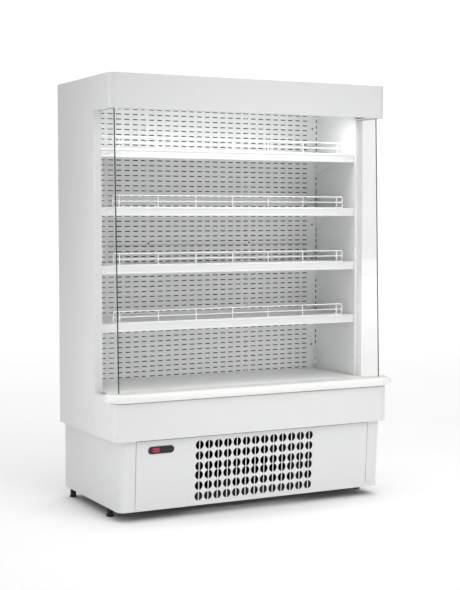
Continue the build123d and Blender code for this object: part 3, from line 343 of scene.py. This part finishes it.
def makeSky():
    world = bpy.data.worlds.new("studioSky")
    bpy.context.scene.world = world
    world.use_nodes = True
    tree = world.node_tree
    heading = addNode(tree, "ShaderNodeTexCoord").outputs["Generated"]
    split = addNode(tree, "ShaderNodeSeparateXYZ", {"Vector": heading})
    depth = addNode(tree, "ShaderNodeMapRange", {"Value": split.outputs["Y"], "From Min": -0.25,
                                                 "From Max": 0.45, "To Min": studio["inFront"],
                                                 "To Max": studio["behind"]},
                    interpolation_type="SMOOTHSTEP")
    rise = addNode(tree, "ShaderNodeMath", {0: split.outputs["Z"], 1: 2.0}, operation="POWER",
                   use_clamp=True)
    glow = addNode(tree, "ShaderNodeMath", {0: rise.outputs[0], 1: studio["overhead"],
                                            2: depth.outputs["Result"]}, operation="MULTIPLY_ADD")
    # the wall is seen plain white, but throws less light than that on the fridge
    seen = addNode(tree, "ShaderNodeLightPath").outputs["Is Camera Ray"]
    level = addNode(tree, "ShaderNodeMix", {0: seen, 2: glow.outputs[0], 3: studio["wallSeen"]})
    tree.links.new(level.outputs[0], tree.nodes["Background"].inputs["Strength"])
    tree.nodes["Background"].inputs["Color"].default_value = (1, 1, 1, 1)


def makeLights():
    for name, where, aim, wide, tall, power, spread in studio["lights"]:
        bpy.ops.object.light_add(type="AREA", location=where)
        light = bpy.context.object
        light.name = name
        light.data.shape = "RECTANGLE"
        light.data.size, light.data.size_y, light.data.energy = wide, tall, power
        light.data.spread = math.radians(spread)
        light.rotation_mode = "QUATERNION"
        light.rotation_quaternion = (Vector(aim) - Vector(where)).to_track_quat("-Z", "Y")


makeSky()
makeLights()
deselectAll()
bpy.ops.mesh.primitive_plane_add(size=60)
floor = settle("floor")
floor.data.materials.append(surfaceFinish("matPaper", ("FAFAFA", "FEFEFE"), 900, (0.7, 0.8), 60, 0.01))
print("studio ready")

canopy = {"corner": 38, "steps": 20, "hem": 15, "sheet": 1.5, "edge": 0.6}
canopyEnd = {"inner": 643.5, "outer": 722.2, "front": -301.7, "back": -98.8, "low": 1847.7, "high": 1849.2,
             "corner": 36, "slotFront": -272, "edge": 0.3}
frontZone = 30   # an upright edge this near the front is a front corner; the plinth's leaning ones are too


def bendCorners(piece, frontY, corner, steps):   # rounds the two upright front edges of a box
    startEdit(piece)
    pick(piece, "EDGE", lambda c, d: abs(d.z) > 0.7 and c.y < frontY + frontZone)
    bpy.ops.mesh.bevel(offset=corner * mm, segments=steps, affect="EDGES")


def makeCanopy():
    low, high = boxOf("canopy_fascia")
    piece = addBox("canopy", low, high)
    bendCorners(piece, low.y, canopy["corner"], canopy["steps"])
    pick(piece, "FACE", lambda c, n: n.y > 0.9 or n.z > 0.9)
    bpy.ops.mesh.delete(type="FACE")
    pick(piece, "FACE", lambda c, n: n.z < -0.9)
    bpy.ops.mesh.inset(thickness=canopy["hem"] * mm, use_boundary=False)
    bpy.ops.mesh.delete(type="FACE")
    endEdit()
    thicken(piece, canopy["sheet"])
    softenEdges(piece, canopy["edge"])
    install(piece, "cabinet", "white_painted_steel", powderCoat, "canopy_fascia")


def makeCanopyEnds():   # plates that close the canopy's underside beside the lamp trough
    end = canopyEnd
    piece = addBox("canopyEndRight", (end["inner"], end["front"], end["low"]),
                   (end["outer"], end["back"], end["high"]))
    startEdit(piece)
    pick(piece, "EDGE", lambda c, d: abs(d.z) > 0.7 and c.y < end["front"] + 1 and c.x > end["outer"] - 1)
    bpy.ops.mesh.bevel(offset=end["corner"] * mm, segments=canopy["steps"], affect="EDGES")
    endEdit()
    cut(piece, addBox("paneSlot", (wall["glassSlot"][0], end["slotFront"], end["low"] - 5),
                      (wall["glassSlot"][1], end["back"] + 5, end["high"] + 5)))
    installPair(piece, "canopyEndLeft", end["edge"], "white_painted_steel", powderCoat)


wall = {"sheet": 1.5, "fold": 6, "glassSlot": (685.5, 692.5), "slotFoot": 561, "edge": 0.4}


def makeWallSkins():   # folded outer sheet, open towards the foam, with the slot the glass stands in
    low, high = boxOf("right_wall_skin")
    piece = addBox("wallSkinRight", low, high)
    startEdit(piece)
    pick(piece, "EDGE", lambda c, d: abs(d.z) > 0.9 and c.x > high.x - 1)
    bpy.ops.mesh.bevel(offset=wall["fold"] * mm, segments=4, affect="EDGES")
    pick(piece, "FACE", lambda c, n: n.x < -0.9)
    bpy.ops.mesh.delete(type="FACE")
    near, far = wall["glassSlot"]
    sliceAt("x", near)
    sliceAt("x", far)
    sliceAt("z", wall["slotFoot"])
    pick(piece, "FACE", lambda c, n: n.y < -0.9 and near < c.x < far and c.z > wall["slotFoot"])
    bpy.ops.mesh.delete(type="FACE")
    endEdit()
    thicken(piece, wall["sheet"])
    installPair(piece, "wallSkinLeft", wall["edge"], "white_painted_steel", powderCoat, "{}_wall_skin")


makeCanopy()
makeCanopyEnds()
makeWallSkins()
print("canopy and end walls made")

belt = {"corner": 56, "steps": 20, "sideLedge": 42, "frontLedge": 76, "sheet": 1.5, "edge": 0.6}


def makeBelt():
    low, high = boxOf("belt_fascia")
    piece = addBox("belt", low, high)
    bendCorners(piece, low.y, belt["corner"], belt["steps"])
    pick(piece, "FACE", lambda c, n: n.y > 0.9 or n.z < -0.9)
    bpy.ops.mesh.delete(type="FACE")
    pick(piece, "FACE", lambda c, n: n.z > 0.9)
    bpy.ops.mesh.inset(thickness=belt["sideLedge"] * mm, use_boundary=False)
    bpy.ops.mesh.delete(type="FACE")
    side, deep = belt["sideLedge"], belt["frontLedge"]
    pick(piece, "VERT", lambda c, n: c.z > high.z - 1 and abs(c.x) < high.x - side + 1
         and low.y + side - 1 < c.y < low.y + belt["corner"] + 1)
    push(y=deep - side)
    endEdit()
    thicken(piece, belt["sheet"])
    softenEdges(piece, belt["edge"])
    install(piece, "cabinet", "white_painted_steel", powderCoat, "belt_fascia")


# the shade strip values place a thin black strip of painted shadow under the bumper
bumper = {"corner": 80, "steps": 28, "nose": 19, "noseSteps": 12, "seamAt": 672, "seam": 0.8,
          "beltGap": 0.6, "edge": 0.7, "paneFront": -306, "paneBack": -270, "paneHigh": 590,
          "shadeStripLow": 540.7, "shadeStripHigh": 544.3, "shadeStripProud": 1.0, "shadeStripGap": 0.1, "shadeStripEdge": 0.2}


def makeBumper():   # extruded bullnose with a moulded cap on each end
    low, high = boxOf("bumper_end_caps")
    beltLow, beltHigh = boxOf("belt_fascia")
    piece = addBox("bumperRail", low, high)
    bendCorners(piece, low.y, bumper["corner"], bumper["steps"])
    pick(piece, "EDGE", lambda c, d: abs(d.z) < 0.1 and c.y < high.y - 1)
    bpy.ops.mesh.bevel(offset=bumper["nose"] * mm, segments=bumper["noseSteps"], affect="EDGES")
    endEdit()
    gap = bumper["beltGap"]
    space = addBox("beltSpace", (beltLow.x - gap, beltLow.y - gap, low.z - 5),
                   (beltHigh.x + gap, high.y + 40, beltHigh.z))
    bendCorners(space, beltLow.y, belt["corner"], belt["steps"])
    endEdit()
    near, far = wall["glassSlot"]
    front, foot, back, head = bumper["paneFront"], wall["slotFoot"], bumper["paneBack"], bumper["paneHigh"]
    cut(piece, space, addBox("slotRight", (near, front, foot), (far, back, head)),
        addBox("slotLeft", (-far, front, foot), (-near, back, head)))
    seam = bumper["seamAt"]
    for name, spot, keep in (("bumperCapRight", seam + bumper["seam"], "high"),
                             ("bumperCapLeft", -seam - bumper["seam"], "low")):
        cap = copyOf(piece, name)
        startEdit(cap)
        sliceAt("x", spot, keep, fill=True)
        endEdit()
        softenEdges(cap, bumper["edge"])
        install(cap, "cabinet", "white_bumper_plastic", extrudedPvc, "bumper_end_caps")
    startEdit(piece)
    sliceAt("x", seam, "low", fill=True)
    sliceAt("x", -seam, "high", fill=True)
    endEdit()
    softenEdges(piece, bumper["edge"])
    install(piece, "cabinet", "white_bumper_plastic", extrudedPvc, "bumper_rail")


def makeBumperShadeStrip():   # painted shadow: a thin black strip under the bumper that stands in for the shadow line at the joint
    low, high = boxOf("belt_fascia")
    rear = boxOf("bumper_end_caps")[1].y
    proud, near = bumper["shadeStripProud"], bumper["shadeStripGap"]
    piece = addBox("bumperShadeStrip", (low.x - proud, low.y - proud, bumper["shadeStripLow"]),
                   (high.x + proud, rear, bumper["shadeStripHigh"]))
    bendCorners(piece, low.y, belt["corner"] + proud, belt["steps"])
    endEdit()
    space = addBox("beltSpace", (low.x - near, low.y - near, bumper["shadeStripLow"] - 5),
                   (high.x + near, rear + 40, bumper["shadeStripHigh"] + 5))
    bendCorners(space, low.y, belt["corner"] + near, belt["steps"])
    endEdit()
    cut(piece, space)
    softenEdges(piece, bumper["shadeStripEdge"])
    install(piece, "cabinet", "black_plastic", rubber)


makeBelt()
makeBumper()
makeBumperShadeStrip()
print("belt and bumper made")

plinth = {"corner": 34, "steps": 20, "lean": 20, "sheet": 1.5, "seamAt": 614, "seam": 2.0, "flange": 14,
          "panelTop": 364.5, "edge": 0.5}
vents = {"columns": 13, "pitch": 48.5, "middle": -7, "rowPitch": 49.5, "groupTops": (327, 186.5),
         "rows": 3, "radius": 20.3, "bar": 4.8, "tip": 1.2, "steps": 40, "edge": 0.3,
         "cutFront": -345, "cutBack": -275}
condenserShade = {"half": 655, "low": 52, "high": 366, "front": -217, "sheet": 1.2, "windowX": (-282, 266),
          "windowZ": (56, 336), "edge": 0.2}


def plinthShell(name):   # the whole leaning plinth as one open sheet
    low, high = boxOf("plinth_right")
    piece = addBox(name, (-high.x, low.y, low.z), high)
    startEdit(piece)
    pick(piece, "EDGE", lambda c, d: abs(d.x) > 0.9 and c.y < low.y + 1 and c.z < low.z + 1)
    push(y=plinth["lean"])
    endEdit()
    bendCorners(piece, low.y, plinth["corner"], plinth["steps"])
    pick(piece, "FACE", lambda c, n: n.y > 0.9 or abs(n.z) > 0.9)
    bpy.ops.mesh.delete(type="FACE")
    return piece


def makePlinthSides():
    piece = plinthShell("plinthRight")
    sliceAt("x", plinth["seamAt"] + plinth["seam"] / 2, "high")
    endEdit()
    thicken(piece, plinth["sheet"])
    installPair(piece, "plinthLeft", plinth["edge"], "white_painted_steel", powderCoat, "plinth_{}")


def ventCutter():   # every half-round opening in one cutting body
    halves = []
    for side in (-1, 1):
        half = addRod("ventHalf", vents["radius"], (0, vents["cutFront"], 0), (0, vents["cutBack"], 0),
                      vents["steps"])
        startEdit(half)
        sliceAt("x", side * vents["bar"] / 2, "high" if side > 0 else "low", fill=True)
        pick(half, "EDGE", lambda c, d: abs(d.y) > 0.9 and abs(c.x) < vents["bar"] / 2 + 0.1)
        bpy.ops.mesh.bevel(offset=vents["tip"] * mm, segments=3, affect="EDGES")
        endEdit()
        halves.append(half)
    cutter = joinAll("ventCutter", halves)
    first = vents["middle"] - (vents["columns"] - 1) / 2 * vents["pitch"]
    top, second = vents["groupTops"]
    cutter.data.transform(Matrix.Translation(Vector((first, 0, top)) * mm))
    for count, x, z in ((vents["columns"], vents["pitch"], 0), (vents["rows"], 0, -vents["rowPitch"]),
                        (2, 0, second - top)):
        modify(cutter, "ARRAY", count=count, use_relative_offset=False, use_constant_offset=True,
               constant_offset_displace=(x * mm, 0, z * mm))
    return cutter


def makePanel():
    piece = plinthShell("grillePanel")
    edge = plinth["seamAt"] - plinth["seam"] / 2
    sliceAt("x", edge, "low")
    sliceAt("x", -edge, "high")
    sliceAt("z", plinth["panelTop"], "low")
    pick(piece, "EDGE", lambda c, d: abs(d.x) < 0.1 and abs(c.x) > edge - 1)
    pull(y=plinth["flange"])
    endEdit()
    thicken(piece, plinth["sheet"])
    cut(piece, ventCutter())
    softenEdges(piece, vents["edge"])
    install(piece, "front_panel", "white_painted_steel", powderCoat, "grille_panel")


def makeVentShadeSheet():   # painted shade: a black sheet round the condenser that makes the vents read dark
    b = condenserShade
    piece = addBox("ventShadeSheet", (-b["half"], b["front"], b["low"]),
                   (b["half"], b["front"] + b["sheet"], b["high"]))
    cut(piece, addBox("window", (b["windowX"][0], b["front"] - 5, b["windowZ"][0]),
                      (b["windowX"][1], b["front"] + 5, b["windowZ"][1])))
    softenEdges(piece, b["edge"])
    install(piece, "cabinet", "black_enamel", blackCoatAndShade)


makePlinthSides()
makePanel()
makeVentShadeSheet()
print("plinth made")

duct = {"half": 681.5, "pitchX": 43.8, "pitchZ": 24.81, "columns": 29, "rows": 27, "slot": 28, "slotHigh": 5,
        "sheet": 1.5, "firstRows": {"lower_duct_panel": 576.5, "upper_duct_panel": 1246.4}}
screw = {"places": [(x, z) for x in (-658, 658) for z in (695, 1147, 1326, 1828)]
         + [(-282, 1236), (282, 1236)],
         "radius": 4.5, "front": 281.8, "back": 284, "dome": 0.9, "cross": 3.0, "bladeWide": 0.9,
         "bladeDeep": 1.0}


def slottedSheet(name, node):   # one slotted cell repeated in both directions, then margins added
    low, high = boxOf(node)
    firstRow = duct["firstRows"][node]
    deselectAll()
    bpy.ops.mesh.primitive_circle_add(vertices=12, radius=duct["slotHigh"] / 2 * mm,
                                      rotation=(math.pi / 2, math.radians(15), 0))
    ring = settle(name)
    startEdit(ring)
    for side in (-1, 1):
        pick(ring, "VERT", lambda c, n: c.x * side > 0)
        push(x=side * (duct["slot"] - duct["slotHigh"]) / 2)
    endEdit()
    deselectAll()
    bpy.ops.mesh.primitive_plane_add(size=1, rotation=(math.pi / 2, 0, 0))
    bpy.context.object.scale = (duct["pitchX"] * mm, duct["pitchZ"] * mm, 1)
    piece = joinAll(name, [ring, settle("cell")])
    startEdit(piece)
    bpy.ops.mesh.select_all(action="SELECT")
    bpy.ops.mesh.delete(type="ONLY_FACE")
    bpy.ops.mesh.select_all(action="SELECT")
    bpy.ops.mesh.bridge_edge_loops()
    endEdit()
    start = Vector((-(duct["columns"] - 1) / 2 * duct["pitchX"], low.y, firstRow))
    piece.data.transform(Matrix.Translation(start * mm))
    for count, x, z in ((duct["columns"], duct["pitchX"], 0), (duct["rows"], 0, duct["pitchZ"])):
        modify(piece, "ARRAY", count=count, use_relative_offset=False, use_constant_offset=True,
               constant_offset_displace=(x * mm, 0, z * mm), use_merge_vertices=True, merge_threshold=0.0001)
    startEdit(piece)
    edge = duct["columns"] / 2 * duct["pitchX"]
    for side in (-1, 1):
        pick(piece, "EDGE", lambda c, d: c.x * side > edge - 0.1)
        pull(x=side * (duct["half"] - edge))
    bottom = firstRow - duct["pitchZ"] / 2
    top = bottom + duct["rows"] * duct["pitchZ"]
    pick(piece, "EDGE", lambda c, d: c.z < bottom + 0.1)
    pull(z=low.z - bottom)
    if top > high.z:
        sliceAt("z", high.z, "low")
    else:
        pick(piece, "EDGE", lambda c, d: c.z > top - 0.1)
        pull(z=high.z - top)
    bpy.ops.mesh.select_all(action="SELECT")
    bpy.ops.mesh.normals_make_consistent(inside=False)
    mesh = bmesh.from_edit_mesh(piece.data)
    mesh.faces.ensure_lookup_table()
    if mesh.faces[0].normal.y > 0:
        bpy.ops.mesh.flip_normals()
    endEdit()
    thicken(piece, duct["sheet"])
    install(piece, "cabinet", "white_liner_steel", linerPaintWithPaintedLight, node)


def makeScrews():   # pan heads with a cross recess
    s = screw
    x, z = s["places"][0]
    head = addRod("ductScrews", s["radius"], (x, s["back"], z), (x, s["front"], z), 20)
    startEdit(head)
    pick(head, "EDGE", lambda c, d: c.y < s["front"] + 0.1)
    bpy.ops.mesh.bevel(offset=s["dome"] * mm, segments=3, affect="EDGES")
    endEdit()
    wide, reach = s["bladeWide"] / 2, s["cross"]
    low, deep = s["front"] - 1, s["front"] + s["bladeDeep"]
    cut(head, addBox("blade", (x - reach, low, z - wide), (x + reach, deep, z + wide)),
        addBox("bladeUp", (x - wide, low, z - reach), (x + wide, deep, z + reach)))
    heads = [copyOf(head, f"screw{i}", (a - x, 0, b - z)) for i, (a, b) in enumerate(s["places"][1:])]
    piece = joinAll("ductScrews", [head] + heads)
    activate(piece)
    bpy.ops.object.shade_smooth_by_angle(angle=math.radians(40))
    install(piece, "cabinet", "screw_steel", phosphatedSteel, "panel_screws")


ductShadeSheet = {"bays": ((-276, 276), (288, 652)), "front": 316.8, "back": 318.4, "low": 570, "high": 1895,
              "edge": 0.3}


def makeDuctShadeSheets():   # painted shade: black sheets on the duct's rear wall, between its ribs, that make the slots read dark
    d = ductShadeSheet
    sheets = []
    for i, (near, far) in enumerate(d["bays"]):
        sheets.append(addBox(f"ductShadeSheet{i}", (near, d["front"], d["low"]), (far, d["back"], d["high"])))
    sheets.append(copyOf(sheets[1], "ductShadeSheet2", mirror=True))
    for sheet in sheets:
        softenEdges(sheet, d["edge"])
        install(sheet, "cabinet", "black_plastic", rubber)


slottedSheet("lowerDuctPanel", "lower_duct_panel")
slottedSheet("upperDuctPanel", "upper_duct_panel")
makeScrews()
makeDuctShadeSheets()
print("duct panels made")

tray = {"half": 679.5, "front": -87.5, "back": 266, "lip": 37, "bead": 3, "beadHigh": 5, "ramp": 1.5,
        "hem": 9, "flange": 18, "sheet": 1.5, "fold": 1.2, "levels": (1677, 1409.7, 1142.4, 875.1),
        "notch": (672, 679), "notchDeep": 30, "notchReach": 4, "edge": 0.3}
riser = {"half": 618.5, "high": 56, "middle": 30, "wire": 2.5, "bar": 2.2, "post": 2.6, "postBehind": 1.5,
         "peg": 1.75, "corner": 9, "y": -75.5, "bay": 195.5, "bays": 6, "pegBelow": 12, "lift": 0.3}
bracket = {"edge": 0.4, "sweep": 55, "steps": 10, "sweepFrom": 60, "sweepTo": 240}
slotShade = {"half": 5.2, "centre": 675, "front": 271.7, "back": 272.7, "low": 690, "high": 1883, "edge": 0.4}


def foldedStrip(name, half, points, fold):   # a strip along X, folded through (y, z) points
    deselectAll()
    bpy.ops.mesh.primitive_plane_add(size=1)
    piece = settle(name)
    startEdit(piece)
    pick(piece, "VERT", lambda c, n: c.y > 0)
    bpy.ops.mesh.delete(type="VERT")
    mesh = bmesh.from_edit_mesh(piece.data)
    for corner in mesh.verts:
        corner.co = Vector((math.copysign(half, corner.co.x), *points[0])) * mm
    bmesh.update_edit_mesh(piece.data)
    bpy.ops.mesh.select_all(action="SELECT")
    for (y0, z0), (y1, z1) in zip(points, points[1:]):
        pull(y=y1 - y0, z=z1 - z0)
    pick(piece, "EDGE", lambda c, d: abs(d.x) > 0.9
         and any(abs(c.y - y) + abs(c.z - z) < 0.05 for y, z in points[1:-1]))
    bpy.ops.mesh.bevel(offset=fold * mm, segments=3, affect="EDGES")
    return piece


def makeTray(level):
    t = tray
    front, inset, low = t["front"], t["front"] + t["bead"], level - t["lip"]
    piece = foldedStrip("shelfTray1", t["half"], [
        (t["back"], level - t["flange"]), (t["back"], level), (front, level), (front, level - t["beadHigh"]),
        (inset, level - t["beadHigh"] - t["ramp"]), (inset, low + t["beadHigh"] + t["ramp"]),
        (front, low + t["beadHigh"]), (front, low), (front + t["hem"], low)], t["fold"])
    pick(piece, "EDGE", lambda c, d: abs(c.x) > t["half"] - 1 and c.z > level - 0.1)
    pull(z=-t["flange"])
    endEdit()
    thicken(piece, t["sheet"])
    near, far = t["notch"]
    for side in (-1, 1):
        a, b = sorted((side * near, side * far))
        cut(piece, addBox("notch", (a, t["back"] - t["notchReach"], level - t["notchDeep"]),
                          (b, t["back"] + t["notchReach"], level - t["sheet"])))
    softenEdges(piece, t["edge"])
    return piece


def makeRiser(level):   # a wire loop with a middle wire, posts, and pegs that drop into the tray
    r = riser
    low, high = level + r["lift"] + r["wire"], level + r["high"]
    deselectAll()
    bpy.ops.mesh.primitive_plane_add(size=1, rotation=(math.pi / 2, 0, 0))
    bpy.context.object.scale = (2 * r["half"] * mm, (high - low) * mm, 1)
    loop = settle("shelfRiser1")
    loop.data.transform(Matrix.Translation(Vector((0, r["y"], (low + high) / 2)) * mm))
    startEdit(loop)
    bpy.ops.mesh.select_all(action="SELECT")
    bpy.ops.mesh.bevel(offset=r["corner"] * mm, segments=6, affect="VERTICES")
    bpy.ops.mesh.select_all(action="SELECT")
    bpy.ops.mesh.delete(type="ONLY_FACE")
    endEdit()
    bpy.ops.object.convert(target="CURVE")
    loop = bpy.context.object
    loop.data.bevel_depth = r["wire"] * mm
    loop.data.bevel_resolution = 3
    bpy.ops.object.convert(target="MESH")
    half, y = r["half"], r["y"]
    wires = [bpy.context.object, addRod("middle", r["bar"], (-half, y, level + r["middle"]),
                                        (half, y, level + r["middle"]), 12)]
    for i in range(r["bays"] + 1):
        x = (i - r["bays"] / 2) * r["bay"]
        behind = y + r["postBehind"]
        wires.append(addRod("post", r["post"], (x, behind, low - 1), (x, behind, high + 1), 12))
        if i in (0, 2, r["bays"] - 2, r["bays"]):
            wires.append(addRod("peg", r["peg"], (x, y, level - r["pegBelow"]), (x, y, low), 12))
    piece = joinAll("shelfRiser1", wires)
    activate(piece)
    bpy.ops.object.shade_smooth_by_angle(angle=math.radians(50))
    return piece


def makeShelves():
    firstTray, firstRiser = makeTray(tray["levels"][0]), makeRiser(tray["levels"][0])
    for number, level in enumerate(tray["levels"], start=1):
        shelf, wires = firstTray, firstRiser
        if number > 1:
            drop = (0, 0, level - tray["levels"][0])
            shelf = copyOf(firstTray, f"shelfTray{number}", drop)
            wires = copyOf(firstRiser, f"shelfRiser{number}", drop)
        install(shelf, f"shelf_{number}", "white_shelf_steel", shelfPaint, f"shelf_tray_{number}")
        install(wires, f"rail_{number}", "white_coated_wire", wireCoat, f"shelf_rail_{number}")


def makeBrackets():   # the plate's lower edge sweeps down to the upright in a curve
    for side in ("Left", "Right"):
        node = "shelf_brackets_" + side.lower()
        piece = mergedCopy(node, "shelfBrackets" + side)
        startEdit(piece)
        pick(piece, "EDGE", lambda c, d: abs(d.x) > 0.9 and bracket["sweepFrom"] < c.y < bracket["sweepTo"])
        bpy.ops.mesh.bevel(offset=bracket["sweep"] * mm, segments=bracket["steps"], affect="EDGES")
        endEdit()
        softenEdges(piece, bracket["edge"])
        install(piece, "cabinet", "white_liner_steel", linerPaintWithPaintedLight, node)


def makeUprightShadeStrips():   # painted shade: black strips inside the uprights that darken their slots
    t = slotShade
    piece = addBox("uprightShadeStripRight", (t["centre"] - t["half"], t["front"], t["low"]),
                   (t["centre"] + t["half"], t["back"], t["high"]))
    installPair(piece, "uprightShadeStripLeft", t["edge"], "black_plastic", rubber)


makeShelves()
makeBrackets()
makeUprightShadeStrips()
print("shelves made")

glass = {"inner": 686, "outer": 692, "foot": 562.5, "head": 1858, "footFront": -305.5, "headFront": -267.7,
         "back": -97.2, "rearBand": 20, "noseRound": 6, "edge": 0.9}
paneTopShade = {"inner": 684.6, "outer": 693.4, "front": -273, "back": -98.8, "low": 1844.8, "high": 1847.6,
        "noseRound": 3, "edge": 0.5}
packing = {"inner": 685.7, "outer": 692.3, "front": -97.0, "back": -73.5, "low": 563, "high": 1846,
           "edge": 0.3}
lamp = {"tube": 8, "end": 568, "edge": 1.2, "cap": 8.0, "capStart": 567, "capStop": 583, "capEdge": 0.4,
        "pin": 1.2, "pinStart": 582, "pinStop": 590, "pinSpread": 2.5}


def makePanes():   # leaning panes with ground edges
    g = glass
    piece = addBox("sideGlassRight", (g["inner"], g["footFront"], g["foot"]),
                   (g["outer"], g["back"], g["head"]))
    startEdit(piece)
    pick(piece, "EDGE", lambda c, d: abs(d.x) > 0.9 and c.y < g["footFront"] + 1 and c.z > g["head"] - 1)
    push(y=g["headFront"] - g["footFront"])
    pick(piece, "EDGE", lambda c, d: abs(d.x) > 0.9 and c.y < 0.5 * (g["footFront"] + g["back"]))
    bpy.ops.mesh.bevel(offset=g["noseRound"] * mm, segments=5, affect="EDGES")
    endEdit()
    twin = copyOf(piece, "sideGlassLeft", mirror=True)
    for pane, side in ((piece, "right"), (twin, "left")):
        softenEdges(pane, g["edge"])
        pane.data.materials.append(paneGlass)
        # the edge faces take the painted shade of the dark glass edge
        pane.data.materials.append(paneEdgePaintedShade)
        for face in pane.data.polygons:   # the rear edge lies against the packing and stays clear
            hidden = face.center.y > (g["back"] - g["rearBand"]) * mm
            face.material_index = 0 if hidden or abs(face.normal.x) > 0.98 else 1
        install(pane, "cabinet", "clear_glass", None, "side_glass_" + side)


def makeGlassTopShadeStrips():   # painted shadow: a grey strip where the pane meets the canopy, in place of the shadow line there
    s = paneTopShade
    piece = addBox("glassTopShadeStripRight", (s["inner"], s["front"], s["low"]), (s["outer"], s["back"], s["high"]))
    startEdit(piece)
    pick(piece, "EDGE", lambda c, d: abs(d.z) > 0.9 and c.y < s["front"] + 1)
    bpy.ops.mesh.bevel(offset=s["noseRound"] * mm, segments=4, affect="EDGES")
    endEdit()
    installPair(piece, "glassTopShadeStripLeft", s["edge"], "black_plastic", shadeLineGrey)


def makePackings():   # white silicone that holds the pane in the wall's slot
    p = packing
    piece = addBox("glassPackingRight", (p["inner"], p["front"], p["low"]),
                   (p["outer"], p["back"], p["high"]))
    installPair(piece, "glassPackingLeft", p["edge"], "white_bumper_plastic", extrudedPvc)


def makeLamp():
    l = lamp
    low, high = boxOf("lamp_tube")
    y, z = (low.y + high.y) / 2, (low.z + high.z) / 2
    tube = addRod("lampTube", l["tube"], (-l["end"], y, z), (l["end"], y, z), 24)
    softenEdges(tube, l["edge"])
    install(tube, "cabinet", "opal_lamp", opalGlass, "lamp_tube")
    caps = []
    for side in (-1, 1):
        caps.append(addRod("cap", l["cap"], (side * l["capStart"], y, z), (side * l["capStop"], y, z), 24))
        for lift in (-l["pinSpread"], l["pinSpread"]):
            caps.append(addRod("pin", l["pin"], (side * l["pinStart"], y, z + lift),
                               (side * l["pinStop"], y, z + lift), 10))
    piece = joinAll("lampCaps", caps)
    softenEdges(piece, l["capEdge"])
    install(piece, "cabinet", "screw_steel", platedSteel)


makePanes()
makeGlassTopShadeStrips()
makePackings()
makeLamp()
print("glass and lamp made")

# node, rounding of its edges in mm, body, record slot, finish
keptShapes = [
    ("rear_skin", 0.6, "cabinet", "galvanised_steel", zincSheet),
    ("rear_and_ceiling_liner", 0.4, "cabinet", "white_liner_steel", linerPaintWithPaintedLight),
    ("left_wall_liner", 0.3, "cabinet", "white_liner_steel", linerPaintWithPaintedLight),
    ("right_wall_liner", 0.3, "cabinet", "white_liner_steel", linerPaintWithPaintedLight),
    ("roof_skin", 0.5, "cabinet", "white_painted_steel", powderCoat),
    ("tub_liner", 0.5, "cabinet", "galvanised_steel", zincSheet),
    ("insulation_foam", 0, "cabinet", "foam_core", foamCore),
    ("air_outlet_grille", 0.2, "cabinet", "white_bumper_plastic", extrudedPvc),
    ("ceiling_panel", 0.4, "cabinet", "white_liner_steel", linerPaintWithPaintedLight),
    ("shelf_uprights", 0.3, "cabinet", "white_liner_steel", linerPaintWithPaintedLight),
    ("glass_clips", 0.2, "cabinet", "white_bumper_plastic", extrudedPvc),
    # painted light: the deck and return grille take the brighter liner paint, not the shelf paint, to stand
    # in for the lamp's light
    ("base_deck", 0.5, "deck", "white_shelf_steel", linerPaintWithPaintedLight),
    ("return_grille", 0.3, "return_grille", "white_shelf_steel", linerPaintWithPaintedLight),
    ("controller_body", 0.4, "front_panel", "black_plastic", mouldedAbs),
    ("controller_lens", 0.3, "front_panel", "red_display", tintedAcrylic),
    ("controller_key_down", 0.2, "key_down", "grey_key_plastic", silicone),
    ("controller_key_up", 0.2, "key_up", "grey_key_plastic", silicone),
    # painted shade: the base frame is coated black in place of zinc, to deepen the shadow under the fridge
    ("base_frame", 0.8, "cabinet", "galvanised_steel", blackCoatAndShade),
    ("compressor", 0.8, "cabinet", "black_enamel", stoveEnamel),
    ("condenser_coil", 0.2, "cabinet", "aluminium_fins", blackCoatAndShade),
    ("condenser_shroud", 0.5, "cabinet", "galvanised_steel", zincSheet),
    ("condenser_fan", 0.4, "condenser_fan", "fan_plastic", mouldedAbs),
    ("evaporator_coil", 0.2, "cabinet", "aluminium_fins", finFoil),
    ("evaporator_fan_left", 0.3, "evaporator_fan_left", "fan_plastic", mouldedAbs),
    ("evaporator_fan_right", 0.3, "evaporator_fan_right", "fan_plastic", mouldedAbs),
    ("fan_plate", 0.4, "cabinet", "galvanised_steel", zincSheet),
    ("fan_motors", 0.4, "cabinet", "motor_steel", platedSteel),
    ("drip_tray", 0.5, "cabinet", "galvanised_steel", blackCoatAndShade),
    ("electrical_box", 0.8, "cabinet", "black_plastic", mouldedAbs),
    ("refrigerant_pipes", 0, "cabinet", "copper_pipe", drawnCopper),
    ("cable_gland", 0.4, "cabinet", "black_plastic", mouldedAbs),
    ("foot_front_left", 0.6, "foot_front_left", "black_plastic", rubber),
    ("foot_front_right", 0.6, "foot_front_right", "black_plastic", rubber),
    ("foot_rear_left", 0.6, "foot_rear_left", "black_plastic", rubber),
    ("foot_rear_right", 0.6, "foot_rear_right", "black_plastic", rubber),
]


def dressKept():
    for node, rounding, body, slotName, finish in keptShapes:
        if rounding:
            piece = mergedCopy(node)
            softenEdges(piece, rounding, 2, 40)
            install(piece, body, slotName, finish, node)
        else:
            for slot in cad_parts[node].material_slots:
                slot.material = finish


dressKept()
print("remaining parts dressed")
